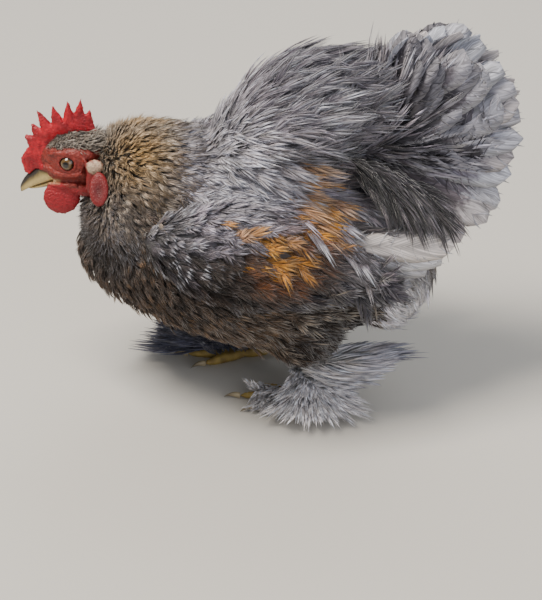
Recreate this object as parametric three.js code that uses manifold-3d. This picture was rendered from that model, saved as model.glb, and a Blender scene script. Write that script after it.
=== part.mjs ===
// A feather-footed bantam cockerel, standing with its head drawn in and its tail raised.
// Millimetres, +Z up, +X towards the beak, +Y towards the bird's left.
// Each plumage mass, bare part, toe group and claw is its own closed solid.
import * as THREE from "three";
import { mergeVertices } from "three/addons/utils/BufferGeometryUtils.js";
import Module from "manifold-3d";

const wasm = await Module();
wasm.setup();

// ---- Driving dimensions -------------------------------------------------------------------

const GAP = 0.3; // clear space left between neighbouring solids
const SIDES = [
  { word: "left", sign: 1 },
  { word: "right", sign: -1 },
];
const BACK_HEIGHT = 163; // top of the back, at the shoulders
const BODY_HALF_WIDTH = 71; // widest place of the trunk's plumage
const BREAST_REACH = 112; // breast's foremost point, ahead of the body's middle
const RUMP_REACH = -98; // hindmost point of the trunk
const EYE_CENTRE = [113.2, 8.6, 148.8];
const EYE_RADIUS = 5.4;
const COMB_CENTRE = [111, 0, 140.5]; // the comb's points radiate from here
const COMB_BLADE_RADIUS = 27.5; // edge of the blade, at the notches
const COMB_POINTS = [
  // direction in degrees above the bill's side, and how far the point reaches
  { angle: 37, reach: 33 },
  { angle: 50, reach: 35.5 },
  { angle: 62, reach: 41 },
  { angle: 75, reach: 41 },
  { angle: 87, reach: 42 },
  { angle: 97, reach: 43 },
  { angle: 106, reach: 37 },
];
const BILL_DROOP = -22; // degrees that the mouth line points below level
const BILL_HALF_WIDTH = 6.2; // at the root of the bill
const UPPER_BILL = { root: [122.5, 0, 137], long: 22.5, high: 10.4 };
const LOWER_BILL = { root: [121, 0, 134.6], long: 18, high: 3.8 };
const TAIL_ROOT = [-60, 0, 165]; // where the tail fan's quills meet
const TAIL_REACH = 76.5; // quill root to feather tip
const TAIL_TUCK = 0.16; // share of its length that the lowest feather is shorter by
const TAIL_ROWS = 6; // feathers on each side of the fan
const TAIL_TOP = 70; // direction of the highest tail feather, degrees above level
const TAIL_FALL = 112; // degrees from the highest feather round to the lowest
const FEET = {
  // where the leg meets the foot; its feather fan's sweep in degrees from back to front,
  // how far along the toes the fan is rooted, and how far its feathers reach
  left: { heel: [-22, 24, 0], fan: [40, 120], stride: 12, reach: 46 },
  right: { heel: [10, -24, 0], fan: [70, 165], stride: 36, reach: 46 },
};
const SOLE_CUT = 1.2; // how much of each toe pad is flattened against the floor
const TOE_RADIUS = 3.6;

// ---- Shape makers -------------------------------------------------------------------------

/** Smooth value in [0, 1] that rises from edge a to edge b. */
const ease = (a, b, x) => THREE.MathUtils.smoothstep(x, a, b);

/** A closed geometry as a solid, turned right side out if its faces point inwards. */
function solidOf(geometry) {
  const bare = geometry.clone();
  bare.deleteAttribute("normal");
  bare.deleteAttribute("uv");
  const merged = mergeVertices(bare, 1e-4);
  const vertProperties = new Float32Array(merged.attributes.position.array);
  const triVerts = new Uint32Array(merged.index.array);
  const build = () =>
    new wasm.Manifold(new wasm.Mesh({ numProp: 3, vertProperties, triVerts }));
  const made = build();
  if (made.volume() > 0) return made;
  for (let i = 0; i < triVerts.length; i += 3) {
    [triVerts[i + 1], triVerts[i + 2]] = [triVerts[i + 2], triVerts[i + 1]];
  }
  return build();
}

/** Moves every vertex of a geometry by a rule that takes and returns a Vector3. */
function reshape(geometry, rule) {
  const places = geometry.attributes.position;
  const point = new THREE.Vector3();
  for (let i = 0; i < places.count; i++) {
    rule(point.fromBufferAttribute(places, i));
    places.setXYZ(i, point.x, point.y, point.z);
  }
  return geometry;
}

/**
 * A rounded body along a curved spine. bulk holds [half width, half height] at even steps
 * along the spine, and both ends close like an egg. roll leans the section, in degrees.
 */
function mass({ spine, bulk, sides = 20, rings = 12, roll = 0 }, grow = 0) {
  const path = new THREE.CatmullRomCurve3(
    spine.map((p) => new THREE.Vector3(...p)),
    false,
    "catmullrom",
  );
  const girth = new THREE.SplineCurve(bulk.map((b) => new THREE.Vector2(...b)));
  const lean = THREE.MathUtils.degToRad(roll);
  const geometry = new THREE.SphereGeometry(1, sides, rings);
  return solidOf(
    reshape(geometry, (p) => {
      const along = (1 - p.y) / 2;
      const tangent = path.getTangent(along);
      const size = girth.getPoint(along);
      const side = new THREE.Vector3(0, 1, 0).applyAxisAngle(tangent, lean);
      side.addScaledVector(tangent, -side.dot(tangent)).normalize();
      const up = new THREE.Vector3().crossVectors(side, tangent).normalize();
      const ends = tangent.clone().multiplyScalar(-grow * p.y);
      const across = p.x * (size.x + grow);
      const above = p.z * (size.y + grow);
      p.copy(path.getPoint(along))
        .add(ends)
        .addScaledVector(side, across)
        .addScaledVector(up, above);
    }),
  );
}

/** How wide a feather is at a share of its length: a narrow quill end and a round tip. */
function feather(share, point) {
  const quill = 0.3 + 0.7 * Math.sin((Math.PI / 2) * Math.min(1, share / 0.55));
  const tip = Math.max(0, (share - 0.72) / 0.28);
  return quill * Math.sqrt(Math.max(point, 1 - tip * tip));
}

/**
 * One feather as a thin closed blade. aim is [degrees above level, degrees out to the side],
 * bend curls the tip down by that many degrees, cup rolls its two edges down, and tilt turns
 * the blade about its shaft.
 */
function vane(
  { root, aim, long, wide, thick, bend = 0, cup = 0, tilt = 0, point = 0.04, steps = 4 },
  grow = 0,
) {
  const geometry = new THREE.BoxGeometry(1, 1, 1, steps, 2, 1);
  const [rise, out] = aim.map(THREE.MathUtils.degToRad);
  const curl = THREE.MathUtils.degToRad(bend);
  const turn = new THREE.Matrix4()
    .makeRotationZ(Math.PI - out)
    .multiply(new THREE.Matrix4().makeRotationY(-rise))
    .multiply(
      new THREE.Matrix4().makeRotationX(THREE.MathUtils.degToRad(tilt)),
    );
  turn.setPosition(...root);
  return solidOf(
    reshape(geometry, (p) => {
      const share = 1 - (0.5 - p.x) ** 1.6;
      const side = p.y * 2;
      const half = (wide / 2) * feather(share, point) + grow;
      const depth = (thick / 2) * (1 - 0.55 * side * side) + grow;
      const sweep = curl * share;
      const reach = long * share * Math.cos(sweep / 2);
      const drop = -long * share * Math.sin(sweep / 2);
      const level = drop - cup * side * side * feather(share, point);
      p.set(reach, side * half, level + p.z * 2 * depth).applyMatrix4(turn);
    }),
  );
}

/** Several overlapping solids as one. */
const joined = (solids) => solids.reduce((all, next) => all.add(next));

/** The mirror image of a point or a list of points across the bird's middle plane. */
const onSide = (sign, [x, y, z]) => [x, y * sign, z];

/** A solid without its neighbours, keeping only its largest body. */
function cutBy(solid, neighbours) {
  const left = neighbours.reduce((all, next) => all.subtract(next), solid);
  return left
    .decompose()
    .reduce((best, body) => (body.volume() > best.volume() ? body : best));
}

// ---- The bird -----------------------------------------------------------------------------

const bird = new THREE.Group();

/** Adds one named node with a plain finish. */
function addNode(name, solid, { color, roughness = 0.8, metalness = 0 }) {
  const mesh = solid.getMesh();
  const geometry = new THREE.BufferGeometry()
    .setAttribute(
      "position",
      new THREE.BufferAttribute(new Float32Array(mesh.vertProperties), 3),
    )
    .setIndex(new THREE.BufferAttribute(new Uint32Array(mesh.triVerts), 1));
  geometry.computeVertexNormals();
  const material = new THREE.MeshStandardMaterial({
    color,
    roughness,
    metalness,
    flatShading: true,
  });
  const node = new THREE.Mesh(geometry, material);
  node.name = name;
  bird.add(node);
}

const FINISH = {
  slate: { color: 0x6d6a70 },
  hackle: { color: 0x7a6a55 },
  breast: { color: 0x4a3d33 },
  wingBow: { color: 0x8a6238 },
  fluff: { color: 0x8d8c96 },
  redSkin: { color: 0xb5222a, roughness: 0.6 },
  lobe: { color: 0xc98f7a, roughness: 0.6 },
  horn: { color: 0x9c8a58, roughness: 0.4 },
  eye: { color: 0x8a5a20, roughness: 0.1 },
  scale: { color: 0xb59a50, roughness: 0.6 },
};

const trunkForm = {
  spine: [
    [BREAST_REACH, 0, 84],
    [58, 0, 96],
    [0, 0, 97],
    [-55, 0, 94],
    [RUMP_REACH, 0, 88],
  ],
  bulk: [
    [58, 54],
    [68, 62],
    [BODY_HALF_WIDTH, BACK_HEIGHT - 97],
    [65, 60],
    [46, 42],
  ],
  sides: 16,
  rings: 11,
};

/** The hackle: the nape's cape, and the throat's fuller part that hangs over the breast. */
const napeForm = {
  spine: [
    [104, 0, 153],
    [90, 0, 149],
    [64, 0, 137],
    [28, 0, 122],
  ],
  bulk: [
    [13, 12],
    [27, 22],
    [45, 34],
    [58, 42],
  ],
  sides: 14,
  rings: 8,
};
const throatForm = {
  spine: [
    [108, 0, 122],
    [90, 0, 118],
    [60, 0, 108],
  ],
  bulk: [
    [27, 28],
    [44, 38],
    [60, 46],
  ],
  sides: 12,
  rings: 7,
};

/** The head: a skull, and a deeper face below and ahead of it. */
const skullForm = {
  spine: [
    [130, 0, 146],
    [113, 0, 152],
    [92, 0, 153],
  ],
  bulk: [
    [8, 9],
    [12.5, 13],
    [15, 13],
  ],
  sides: 12,
  rings: 7,
};
const faceForm = {
  spine: [
    [130, 0, 138],
    [114, 0, 142],
    [94, 0, 144],
  ],
  bulk: [
    [6.5, 6],
    [11, 12],
    [13, 14],
  ],
  sides: 10,
  rings: 6,
};

const saddleForm = {
  spine: [
    [46, 0, 139],
    [4, 0, 160],
    [-32, 0, 176],
    [-72, 0, 187],
  ],
  bulk: [
    [40, 20],
    [52, 33],
    [53, 38],
    [42, 40],
  ],
  sides: 16,
  rings: 9,
};

const fluffForm = {
  spine: [
    [-26, 0, 78],
    [-66, 0, 80],
    [-98, 0, 86],
  ],
  bulk: [
    [48, 34],
    [50, 39],
    [36, 30],
  ],
  sides: 16,
  rings: 8,
};

/** One folded wing, leaning against the body. */
const wingForm = (sign) => ({
  spine: [
    onSide(sign, [76, 50, 123]),
    onSide(sign, [38, 62.5, 121]),
    onSide(sign, [-8, 65.5, 116]),
    onSide(sign, [-74, 58, 93]),
  ],
  bulk: [
    [13, 20],
    [16, 30],
    [16, 34],
    [10, 20],
  ],
  sides: 12,
  rings: 8,
  roll: -24 * sign,
});

/** The upper leg's plumage, from the flank to the hock. */
const thighForm = (sign, heel) => ({
  spine: [
    [heel[0] + 10, 34 * sign, 72],
    [heel[0], 35 * sign, 52],
    [heel[0] - 9, 29 * sign, 33],
  ],
  bulk: [
    [29, 30],
    [27, 27],
    [15, 16],
  ],
  sides: 12,
  rings: 7,
});

/** The feathered shank, from hock to foot. */
const shankForm = (heel) => ({
  spine: [
    [heel[0] - 10, heel[1], 34],
    [heel[0] - 5, heel[1], 20],
    [heel[0] + 1, heel[1], 7],
  ],
  bulk: [
    [9, 10],
    [9, 10],
    [8, 9],
  ],
  sides: 8,
  rings: 6,
});

const trunk = (grow) => mass(trunkForm, grow);
const neck = (grow) => joined([mass(napeForm, grow), mass(throatForm, grow)]);
const head = (grow) => joined([mass(skullForm, grow), mass(faceForm, grow)]);
const saddle = (grow) => mass(saddleForm, grow);
const fluff = (grow) => mass(fluffForm, grow);

/** The comb: a thin blade with a curved foot and a row of points, as an extruded outline. */
function comb(grow = 0) {
  const at = (angle, radius) => {
    const turn = THREE.MathUtils.degToRad(angle);
    return [
      COMB_CENTRE[0] + radius * Math.cos(turn),
      COMB_CENTRE[2] + radius * Math.sin(turn),
    ];
  };
  const outline = new THREE.Shape();
  outline.moveTo(...at(-10, 18));
  outline.quadraticCurveTo(...at(-10, 31), ...at(10, COMB_BLADE_RADIUS + 2));
  outline.lineTo(...at(31, COMB_BLADE_RADIUS));
  COMB_POINTS.forEach(({ angle, reach }, i) => {
    const next = COMB_POINTS[i + 1];
    const shoulder = COMB_BLADE_RADIUS + 0.45 * (reach - COMB_BLADE_RADIUS);
    outline.quadraticCurveTo(...at(angle - 3.4, shoulder), ...at(angle, reach));
    const notch = next ? (angle + next.angle) / 2 : angle + 9;
    outline.quadraticCurveTo(...at(angle + 3, shoulder), ...at(notch, COMB_BLADE_RADIUS));
  });
  outline.lineTo(...at(138, 20));
  outline.lineTo(...at(150, 10));
  const thick = 3;
  const geometry = new THREE.ExtrudeGeometry(outline, {
    depth: thick,
    bevelEnabled: true,
    bevelThickness: 0.8,
    bevelSize: 0.8,
    bevelSegments: 1,
    curveSegments: 2,
  });
  geometry.translate(0, 0, -thick / 2);
  return solidOf(
    reshape(geometry, (p) => {
      const height = Math.hypot(p.x - COMB_CENTRE[0], p.y - COMB_CENTRE[2]);
      const thin = 1.5 - 1.0 * ease(14, 40, height);
      const sway = 1.6 * Math.sin((p.x - COMB_CENTRE[0]) / 7) * ease(16, 30, height);
      p.set(p.x, -p.z * (thin + grow) + sway, p.y);
    }),
  );
}

/** A hanging flap of bare skin: a wattle or an earlobe. */
function flap(sign, { centre, half, splay, swing }, grow = 0) {
  const geometry = new THREE.SphereGeometry(1, 12, 6);
  geometry.scale(half[0] + grow, half[1] + grow, half[2] + grow);
  geometry.rotateY(THREE.MathUtils.degToRad(swing));
  geometry.rotateX(THREE.MathUtils.degToRad(splay * sign));
  geometry.translate(...onSide(sign, centre));
  return solidOf(geometry);
}

const WATTLE = { centre: [117.8, 8.6, 126.4], half: [10.8, 2.6, 10.2], splay: 12, swing: 10 };
const LOBE = { centre: [97.6, 15.2, 141], half: [5.6, 2.6, 12.5], splay: 4, swing: -6 };

/** Upper and lower bill: two curved horn cones that meet on the mouth line. */
function bill(upper, grow = 0) {
  const geometry = new THREE.CylinderGeometry(1, 1, 1, 10, 4);
  const { long, high, root } = upper ? UPPER_BILL : LOWER_BILL;
  const droop = THREE.MathUtils.degToRad(BILL_DROOP);
  return solidOf(
    reshape(geometry, (p) => {
      const share = p.y + 0.5;
      const slim = Math.sqrt(1 - share) * 0.92 + 0.08;
      const above = upper ? Math.max(p.z, -0.12) : Math.min(p.z, 0.12);
      const hook = upper ? -3.4 * share ** 3 : 0.4 * share;
      const x = long * share;
      const z = above * (high * slim + grow) + hook;
      p.set(
        root[0] + x * Math.cos(droop) - z * Math.sin(droop),
        p.x * (BILL_HALF_WIDTH * slim + grow),
        root[2] + x * Math.sin(droop) + z * Math.cos(droop),
      );
    }),
  );
}

/** One eyeball. */
function eye(sign, grow = 0) {
  const geometry = new THREE.SphereGeometry(EYE_RADIUS + grow, 10, 7);
  geometry.translate(...onSide(sign, EYE_CENTRE));
  return solidOf(geometry);
}

/** The tail: a core of quills and coverts with a fan of broad round feathers on each side. */
function tail(grow = 0) {
  const core = mass(
    {
      spine: [
        [TAIL_ROOT[0] + 6, 0, TAIL_ROOT[2] - 4],
        [TAIL_ROOT[0] - 18, 0, TAIL_ROOT[2] + 8],
        [TAIL_ROOT[0] - 50, 0, TAIL_ROOT[2] + 16],
      ],
      bulk: [
        [33, 30],
        [36, 46],
        [22, 32],
      ],
      sides: 10,
      rings: 6,
    },
    grow,
  );
  const blades = SIDES.flatMap(({ sign }) =>
    Array.from({ length: TAIL_ROWS }, (_, i) => {
      const down = i / (TAIL_ROWS - 1);
      return vane(
        {
          root: [TAIL_ROOT[0] - 6, sign * (3 + 14 * down), TAIL_ROOT[2] + 6 - 14 * down],
          aim: [TAIL_TOP - TAIL_FALL * down, sign * (5 + 15 * down)],
          long: TAIL_REACH * (0.93 + 0.1 * Math.sin(Math.PI * down) - TAIL_TUCK * down * down),
          wide: 34,
          thick: 3,
          bend: 26 - 12 * down,
          cup: 3,
          tilt: sign * (52 + 22 * down),
        },
        grow,
      );
    }),
  );
  return joined([core, ...blades]);
}

/** The tips of the folded wing's flight feathers. */
const flights = (sign, grow = 0) =>
  joined(
    Array.from({ length: 4 }, (_, i) =>
      vane(
        {
          root: onSide(sign, [-20 - 5 * i, 62 - i, 104 + 7 * i]),
          aim: [-22 + 6 * i, sign * (-10 - i)],
          long: 58 + 4 * i,
          wide: 24,
          thick: 2.4,
          bend: 6,
          cup: 1.5,
          tilt: sign * 74,
        },
        grow,
      ),
    ),
  );

/** Toes of one foot, joined at the ball: three ahead, one behind. */
const TOES = [
  { name: "inner", aim: -26, long: 27 },
  { name: "middle", aim: 0, long: 35 },
  { name: "outer", aim: 26, long: 29 },
  { name: "hind", aim: 168, long: 17 },
];

const floor = new wasm.Manifold(
  (() => {
    const slab = mergeVertices(
      new THREE.BoxGeometry(600, 600, 60)
        .translate(0, 0, -30)
        .deleteAttribute("normal")
        .deleteAttribute("uv"),
    );
    return new wasm.Mesh({
      numProp: 3,
      vertProperties: new Float32Array(slab.attributes.position.array),
      triVerts: new Uint32Array(slab.index.array),
    });
  })(),
);

/** The line of one toe, from the ball of the foot to where its claw starts. */
function toeLine(sign, heel, { aim, long }) {
  const turn = THREE.MathUtils.degToRad(aim * sign);
  const at = (reach, height) => [
    heel[0] + 4 + reach * Math.cos(turn),
    heel[1] + reach * Math.sin(turn),
    height,
  ];
  const low = 0.866 * TOE_RADIUS - SOLE_CUT;
  return [at(-TOE_RADIUS, low + 1), at(long * 0.45, low + 0.3), at(long, low)];
}

const foot = (sign, heel, grow = 0) =>
  joined(
    TOES.map((toe) =>
      mass(
        {
          spine: toeLine(sign, heel, toe),
          bulk: [
            [TOE_RADIUS + 1.2, TOE_RADIUS + 1],
            [TOE_RADIUS, TOE_RADIUS],
            [TOE_RADIUS - 0.4, TOE_RADIUS - 0.4],
          ],
          sides: 6,
          rings: 5,
        },
        grow,
      ),
    ),
  ).subtract(floor);

/** One claw: a small curved horn at the end of a toe, its tip just above the floor. */
function claw(sign, heel, toe) {
  const [, , end] = toeLine(sign, heel, toe);
  const turn = THREE.MathUtils.degToRad(toe.aim * sign);
  const geometry = new THREE.ConeGeometry(1.9, 9, 5, 2);
  return solidOf(
    reshape(geometry, (p) => {
      const share = (p.y + 4.5) / 9;
      const reach = share * 9;
      const drop = -1.6 * share * share;
      const y = p.x;
      p.set(
        end[0] + reach * Math.cos(turn) - y * Math.sin(turn),
        end[1] + reach * Math.sin(turn) + y * Math.cos(turn),
        end[2] + 0.2 + drop + p.z * 1.1,
      );
    }),
  ).subtract(floor);
}

/** The fan of stiff feathers on the outside of one shank and foot. */
const footFan = (sign, { heel, fan, stride, reach }, grow = 0) =>
  joined([
    mass(
      {
        spine: [
          [heel[0] - 14, heel[1] + 6 * sign, 20],
          [heel[0] - 6, heel[1] + 13 * sign, 15],
          [heel[0] + stride - 6, heel[1] + 9 * sign, 11],
        ],
        bulk: [
          [8, 8],
          [10, 8],
          [8, 4],
        ],
        sides: 8,
        rings: 5,
      },
      grow,
    ),
    ...Array.from({ length: 4 }, (_, i) =>
      vane(
        {
          root: [heel[0] - 9 + (stride * i) / 3, heel[1] + 8 * sign, 14 - 0.5 * i],
          aim: [-7, sign * (fan[0] + ((fan[1] - fan[0]) * i) / 3)],
          long: reach - i,
          wide: 23,
          thick: 2,
          bend: 4,
          cup: 1,
          steps: 3,
        },
        grow,
      ),
    ),
  ]).subtract(floor);

/** The stiff feathers that point back from one hock. */
const hockFan = (sign, heel, grow = 0) =>
  joined(
    Array.from({ length: 3 }, (_, i) =>
      vane(
        {
          root: [heel[0] - 4, heel[1] + (4 + 3 * i) * sign, 26 - 4 * i],
          aim: [15 - 9 * i, sign * (14 + 9 * i)],
          long: 70 - 9 * i,
          wide: 19,
          thick: 2.4,
          bend: -8,
          cup: 1.5,
          tilt: sign * 40,
          steps: 3,
        },
        grow,
      ),
    ),
  );

// ---- Assembly: each solid gives way to the neighbours named after it ------------------------

const eyes = SIDES.map(({ sign }) => eye(sign, GAP));
const bills = [bill(true, GAP), bill(false, GAP)];

SIDES.forEach(({ word, sign }) => {
  const stance = FEET[word];
  const { heel } = stance;
  addNode(`eye_${word}`, eye(sign), FINISH.eye);
  addNode(
    `wattle_${word}`,
    cutBy(flap(sign, WATTLE), [head(GAP), ...bills, neck(GAP)]),
    FINISH.redSkin,
  );
  addNode(
    `earlobe_${word}`,
    cutBy(flap(sign, LOBE), [head(GAP), neck(GAP)]),
    FINISH.lobe,
  );
  const thigh = (grow) => mass(thighForm(sign, heel), grow);
  const shank = (grow) => mass(shankForm(heel), grow);
  const wing = (grow) => mass(wingForm(sign), grow);
  addNode(
    `wing_${word}`,
    cutBy(wing(0), [trunk(GAP), neck(GAP), saddle(GAP)]),
    FINISH.wingBow,
  );
  addNode(
    `flights_${word}`,
    cutBy(flights(sign), [wing(GAP), trunk(GAP), saddle(GAP), fluff(GAP), tail(GAP)]),
    FINISH.slate,
  );
  addNode(
    `thigh_${word}`,
    cutBy(thigh(0), [trunk(GAP), fluff(GAP)]),
    FINISH.fluff,
  );
  addNode(
    `shank_${word}`,
    cutBy(shank(0), [thigh(GAP), trunk(GAP), foot(sign, heel, GAP)]),
    FINISH.fluff,
  );
  addNode(`foot_${word}`, foot(sign, heel), FINISH.scale);
  addNode(
    `foot_feathers_${word}`,
    cutBy(footFan(sign, stance), [shank(GAP), foot(sign, heel, GAP), thigh(GAP)]),
    FINISH.fluff,
  );
  addNode(
    `hock_feathers_${word}`,
    cutBy(hockFan(sign, heel), [
      thigh(GAP),
      shank(GAP),
      trunk(GAP),
      fluff(GAP),
      footFan(sign, stance, GAP),
    ]),
    FINISH.fluff,
  );
  TOES.forEach((toe) =>
    addNode(
      `claw_${toe.name}_${word}`,
      cutBy(claw(sign, heel, toe), [foot(sign, heel, GAP)]),
      FINISH.horn,
    ),
  );
});

addNode("comb", cutBy(comb(), [head(GAP), neck(GAP), ...bills]), FINISH.redSkin);
addNode("bill_upper", cutBy(bill(true), [head(GAP)]), FINISH.horn);
addNode("bill_lower", cutBy(bill(false), [head(GAP), bill(true, GAP)]), FINISH.horn);
addNode("head", cutBy(head(0), [...eyes]), FINISH.redSkin);
addNode("neck", cutBy(neck(0), [head(GAP)]), FINISH.hackle);
addNode("trunk", cutBy(trunk(0), [neck(GAP), head(GAP)]), FINISH.breast);
addNode("saddle", cutBy(saddle(0), [trunk(GAP), neck(GAP)]), FINISH.slate);
addNode("fluff", cutBy(fluff(0), [trunk(GAP)]), FINISH.fluff);
addNode("tail", cutBy(tail(0), [saddle(GAP), trunk(GAP), fluff(GAP)]), FINISH.slate);

// The origin is on the floor, under the middle of the bird's outline.
const outline = new THREE.Box3().setFromObject(bird);
const middle = outline.getCenter(new THREE.Vector3());
bird.position.set(-middle.x, -middle.y, -outline.min.z);

export default bird;
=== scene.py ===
"""A grown feather-footed bantam cockerel, standing still with its head drawn in.

One skin covers the bird. Its coat is laid over it feather by feather, in tracts that follow
the lie of the plumage, and each feather is a small closed vane of mesh. The eyes, the two
halves of the bill and the claws are pieces of their own. Everything is in metres, in the
frame's axes: +X towards the bill, +Y towards the bird's left, +Z up.
"""

import logging
import math
from dataclasses import dataclass, field
from enum import Enum
from functools import partial
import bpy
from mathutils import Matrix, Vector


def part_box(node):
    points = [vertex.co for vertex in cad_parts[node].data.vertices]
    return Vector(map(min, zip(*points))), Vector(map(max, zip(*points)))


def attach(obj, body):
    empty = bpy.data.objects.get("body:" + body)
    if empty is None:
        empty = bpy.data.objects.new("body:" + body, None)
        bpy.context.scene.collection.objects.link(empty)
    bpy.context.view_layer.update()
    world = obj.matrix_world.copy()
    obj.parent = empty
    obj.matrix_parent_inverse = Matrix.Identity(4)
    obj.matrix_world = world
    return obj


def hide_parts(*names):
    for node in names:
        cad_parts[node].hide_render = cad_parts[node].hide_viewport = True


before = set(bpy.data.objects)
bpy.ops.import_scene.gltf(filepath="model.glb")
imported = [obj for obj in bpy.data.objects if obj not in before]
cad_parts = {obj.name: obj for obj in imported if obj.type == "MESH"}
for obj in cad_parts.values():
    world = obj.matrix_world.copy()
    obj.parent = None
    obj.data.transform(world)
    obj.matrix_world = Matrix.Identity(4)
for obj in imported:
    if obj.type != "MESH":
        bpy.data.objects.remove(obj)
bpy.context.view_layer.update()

from types import SimpleNamespace

import bmesh
import bpy
import numpy as np
from mathutils import Matrix, Vector
from mathutils.bvhtree import BVHTree
from mathutils.kdtree import KDTree

Array = np.ndarray
Object, Material = bpy.types.Object, bpy.types.Material
Mesh, NodeTree = bpy.types.Mesh, bpy.types.NodeTree
Rng = np.random.Generator
log = logging.getLogger("cockerel")
MM = 0.001
SPLIT = "ShaderNodeSeparateXYZ"
TIMES, TIMES_PLUS, PLUS, LESS, SINE, SIZE, MOST = (
    f"ShaderNodeMath {job}"
    for job in ("MULTIPLY", "MULTIPLY_ADD", "ADD", "SUBTRACT", "SINE", "ABSOLUTE", "MAXIMUM")
)
EACH_TIMES, MOVED, SCALED, CROSS = (
    f"ShaderNodeVectorMath {job}" for job in ("MULTIPLY", "ADD", "SCALE", "CROSS_PRODUCT")
)
SEED = 4107
BREAST_REACH = 112 * MM  # from the trunk's middle to the foremost point of the breast
MIDDLE = np.array([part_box("trunk")[1][0] - BREAST_REACH, 0.0, 0.0])  # floor under the trunk
SIDES = {"left": 1.0, "right": -1.0}
HEELS = {"left": (-22, 24), "right": (10, -24)}
TOE_START = 4  # how far before the heel the toes start
TOES = {"inner": (-26, 27), "middle": (0, 35), "outer": (26, 29), "hind": (168, 17)}
EYE_CENTRE = (113.2, 8.6, 148.8)
EYE_LOOK = (0.26, 0.95, 0.12)  # the way the left eye looks
BODY = ["neck", "trunk", "saddle", "fluff"]
BODY += [f"{part}_{side}" for part in ("wing", "thigh", "shank") for side in SIDES]
FACE = ["head", "comb"] + [f"{part}_{side}" for part in ("wattle", "earlobe") for side in SIDES]
FEET = [f"foot_{side}" for side in SIDES]


# ---- Small tools


def linear(code: str) -> Array:
    """Turns an sRGB hex colour into linear red, green, blue and alpha.

    Args:
        code: Six hex digits with a leading #.

    Returns:
        Four numbers, the last one 1.
    """
    srgb = np.array([int(code[i : i + 2], 16) / 255 for i in (1, 3, 5)])
    low, high = srgb / 12.92, ((srgb + 0.055) / 1.055) ** 2.4
    return np.append(np.where(srgb <= 0.04045, low, high), 1.0)


def place(x: float, y: float, z: float) -> Array:
    """Turns mm from the trunk's middle on the floor into a point of the frame."""
    return MIDDLE + np.array([x, y, z]) * MM


def measure(points: Array) -> Array:
    """Turns points of the frame into mm from the trunk's middle on the floor."""
    return (points - MIDDLE) / MM


def columns(*parts: Array | float) -> Array:
    """Sets columns side by side; a single number fills its column."""
    return np.stack(np.broadcast_arrays(*parts), 1)


def unit(vectors: Array) -> Array:
    """Scales each vector to length 1."""
    return vectors / np.maximum(np.linalg.norm(vectors, axis=-1, keepdims=True), 1e-12)


def rise(low: float, high: float, x: Array) -> Array:
    """A smooth step from 0 at low to 1 at high; low may be the larger."""
    t = np.clip((x - low) / (high - low), 0, 1)
    return t * t * (3 - 2 * t)


def blend(a: Array, b: Array, share: Array) -> Array:
    """Mixes two rows of colours by a share of b for each row."""
    return a + (b - a) * np.asarray(share)[..., None]


def left(points: Array) -> Array:
    """The places brought over to the bird's left side."""
    return columns(points[:, 0], np.abs(points[:, 1]), points[:, 2])


def blob(points: Array, centre: tuple[float, float, float], radius: float) -> Array:
    """A soft round spot on both sides: 1 at its centre, fading out past its radius."""
    return np.exp(-(((left(points) - centre) / radius) ** 2).sum(1))


def patches(points: Array, spots: tuple, gain: float = 1, grow: float = 0) -> Array:
    """The share of some soft round spots, each a middle and a radius, from 0 to 1."""
    return np.clip(gain * sum(blob(points, s[:3], s[3] + grow) for s in spots), 0, 1)


def waves(points: Array, length: float, seed: int) -> Array:
    """Soft uneven blotches.

    Args:
        points: Places in mm.
        length: Typical distance between blotches, in mm.
        seed: Picks one pattern.

    Returns:
        A value between about 0 and 1 for each point.
    """
    rng = np.random.default_rng(seed)
    total = np.zeros(len(points))
    for _ in range(7):
        way = unit(rng.normal(size=3)) * 2 * math.pi / length * rng.uniform(0.6, 1.6)
        total += np.sin(points @ way + rng.uniform(0, 6.3))
    return np.clip(0.5 + total / 6, 0, 1)


def linked(name: str, data: bpy.types.ID) -> Object:
    """Puts a mesh, a lamp or a camera into the scene as an object.

    Args:
        name: The object's name.
        data: The mesh, lamp or camera.

    Returns:
        The object.
    """
    made = bpy.data.objects.new(name, data)
    bpy.context.scene.collection.objects.link(made)
    return made


def smoothed(mesh: Mesh) -> None:
    """Shades all faces of a mesh smooth."""
    mesh.polygons.foreach_set("use_smooth", np.ones(len(mesh.polygons), bool))


def mesh_object(name: str, points: Array, faces: list[list[int]]) -> Object:
    """Makes a linked mesh object with smooth faces.

    Args:
        name: The object's name.
        points: Its vertices, in metres.
        faces: Its faces, as lists of vertex numbers.

    Returns:
        The new object.
    """
    mesh = bpy.data.meshes.new(name)
    mesh.from_pydata(np.asarray(points).tolist(), [], faces)
    mesh.update()
    smoothed(mesh)
    return linked(name, mesh)


def settled(source: Object) -> None:
    """Turns what an object's modifiers make into its own plain mesh.

    Args:
        source: The object with its modifiers.
    """
    graph = bpy.context.evaluated_depsgraph_get()
    made = bpy.data.meshes.new_from_object(source.evaluated_get(graph))
    source.modifiers.clear()
    old, source.data = source.data, made
    bpy.data.meshes.remove(old)
    made.name = source.name


def add_node(
    tree: NodeTree, kind: str, inputs: list | dict | None = None, **settings: object
) -> bpy.types.NodeOutputs:
    """Adds one node with its settings, and its inputs' values or links.

    Args:
        tree: The tree it goes into.
        kind: The node's type name, which may have its operation after a space.
        inputs: Values or output sockets, in the order of the inputs or by input name.
        settings: Properties of the node.

    Returns:
        The node's outputs.
    """
    kind, *job = kind.split()
    node = tree.nodes.new(kind)
    for key, value in (*zip(["operation"], job), *settings.items()):
        setattr(node, key, value)
    pairs = inputs.items() if isinstance(inputs, dict) else enumerate(inputs or [])
    for key, value in pairs:
        if isinstance(value, bpy.types.NodeSocket):
            tree.links.new(value, node.inputs[key])
        elif value is not None:
            node.inputs[key].default_value = value
    return node.outputs


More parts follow.
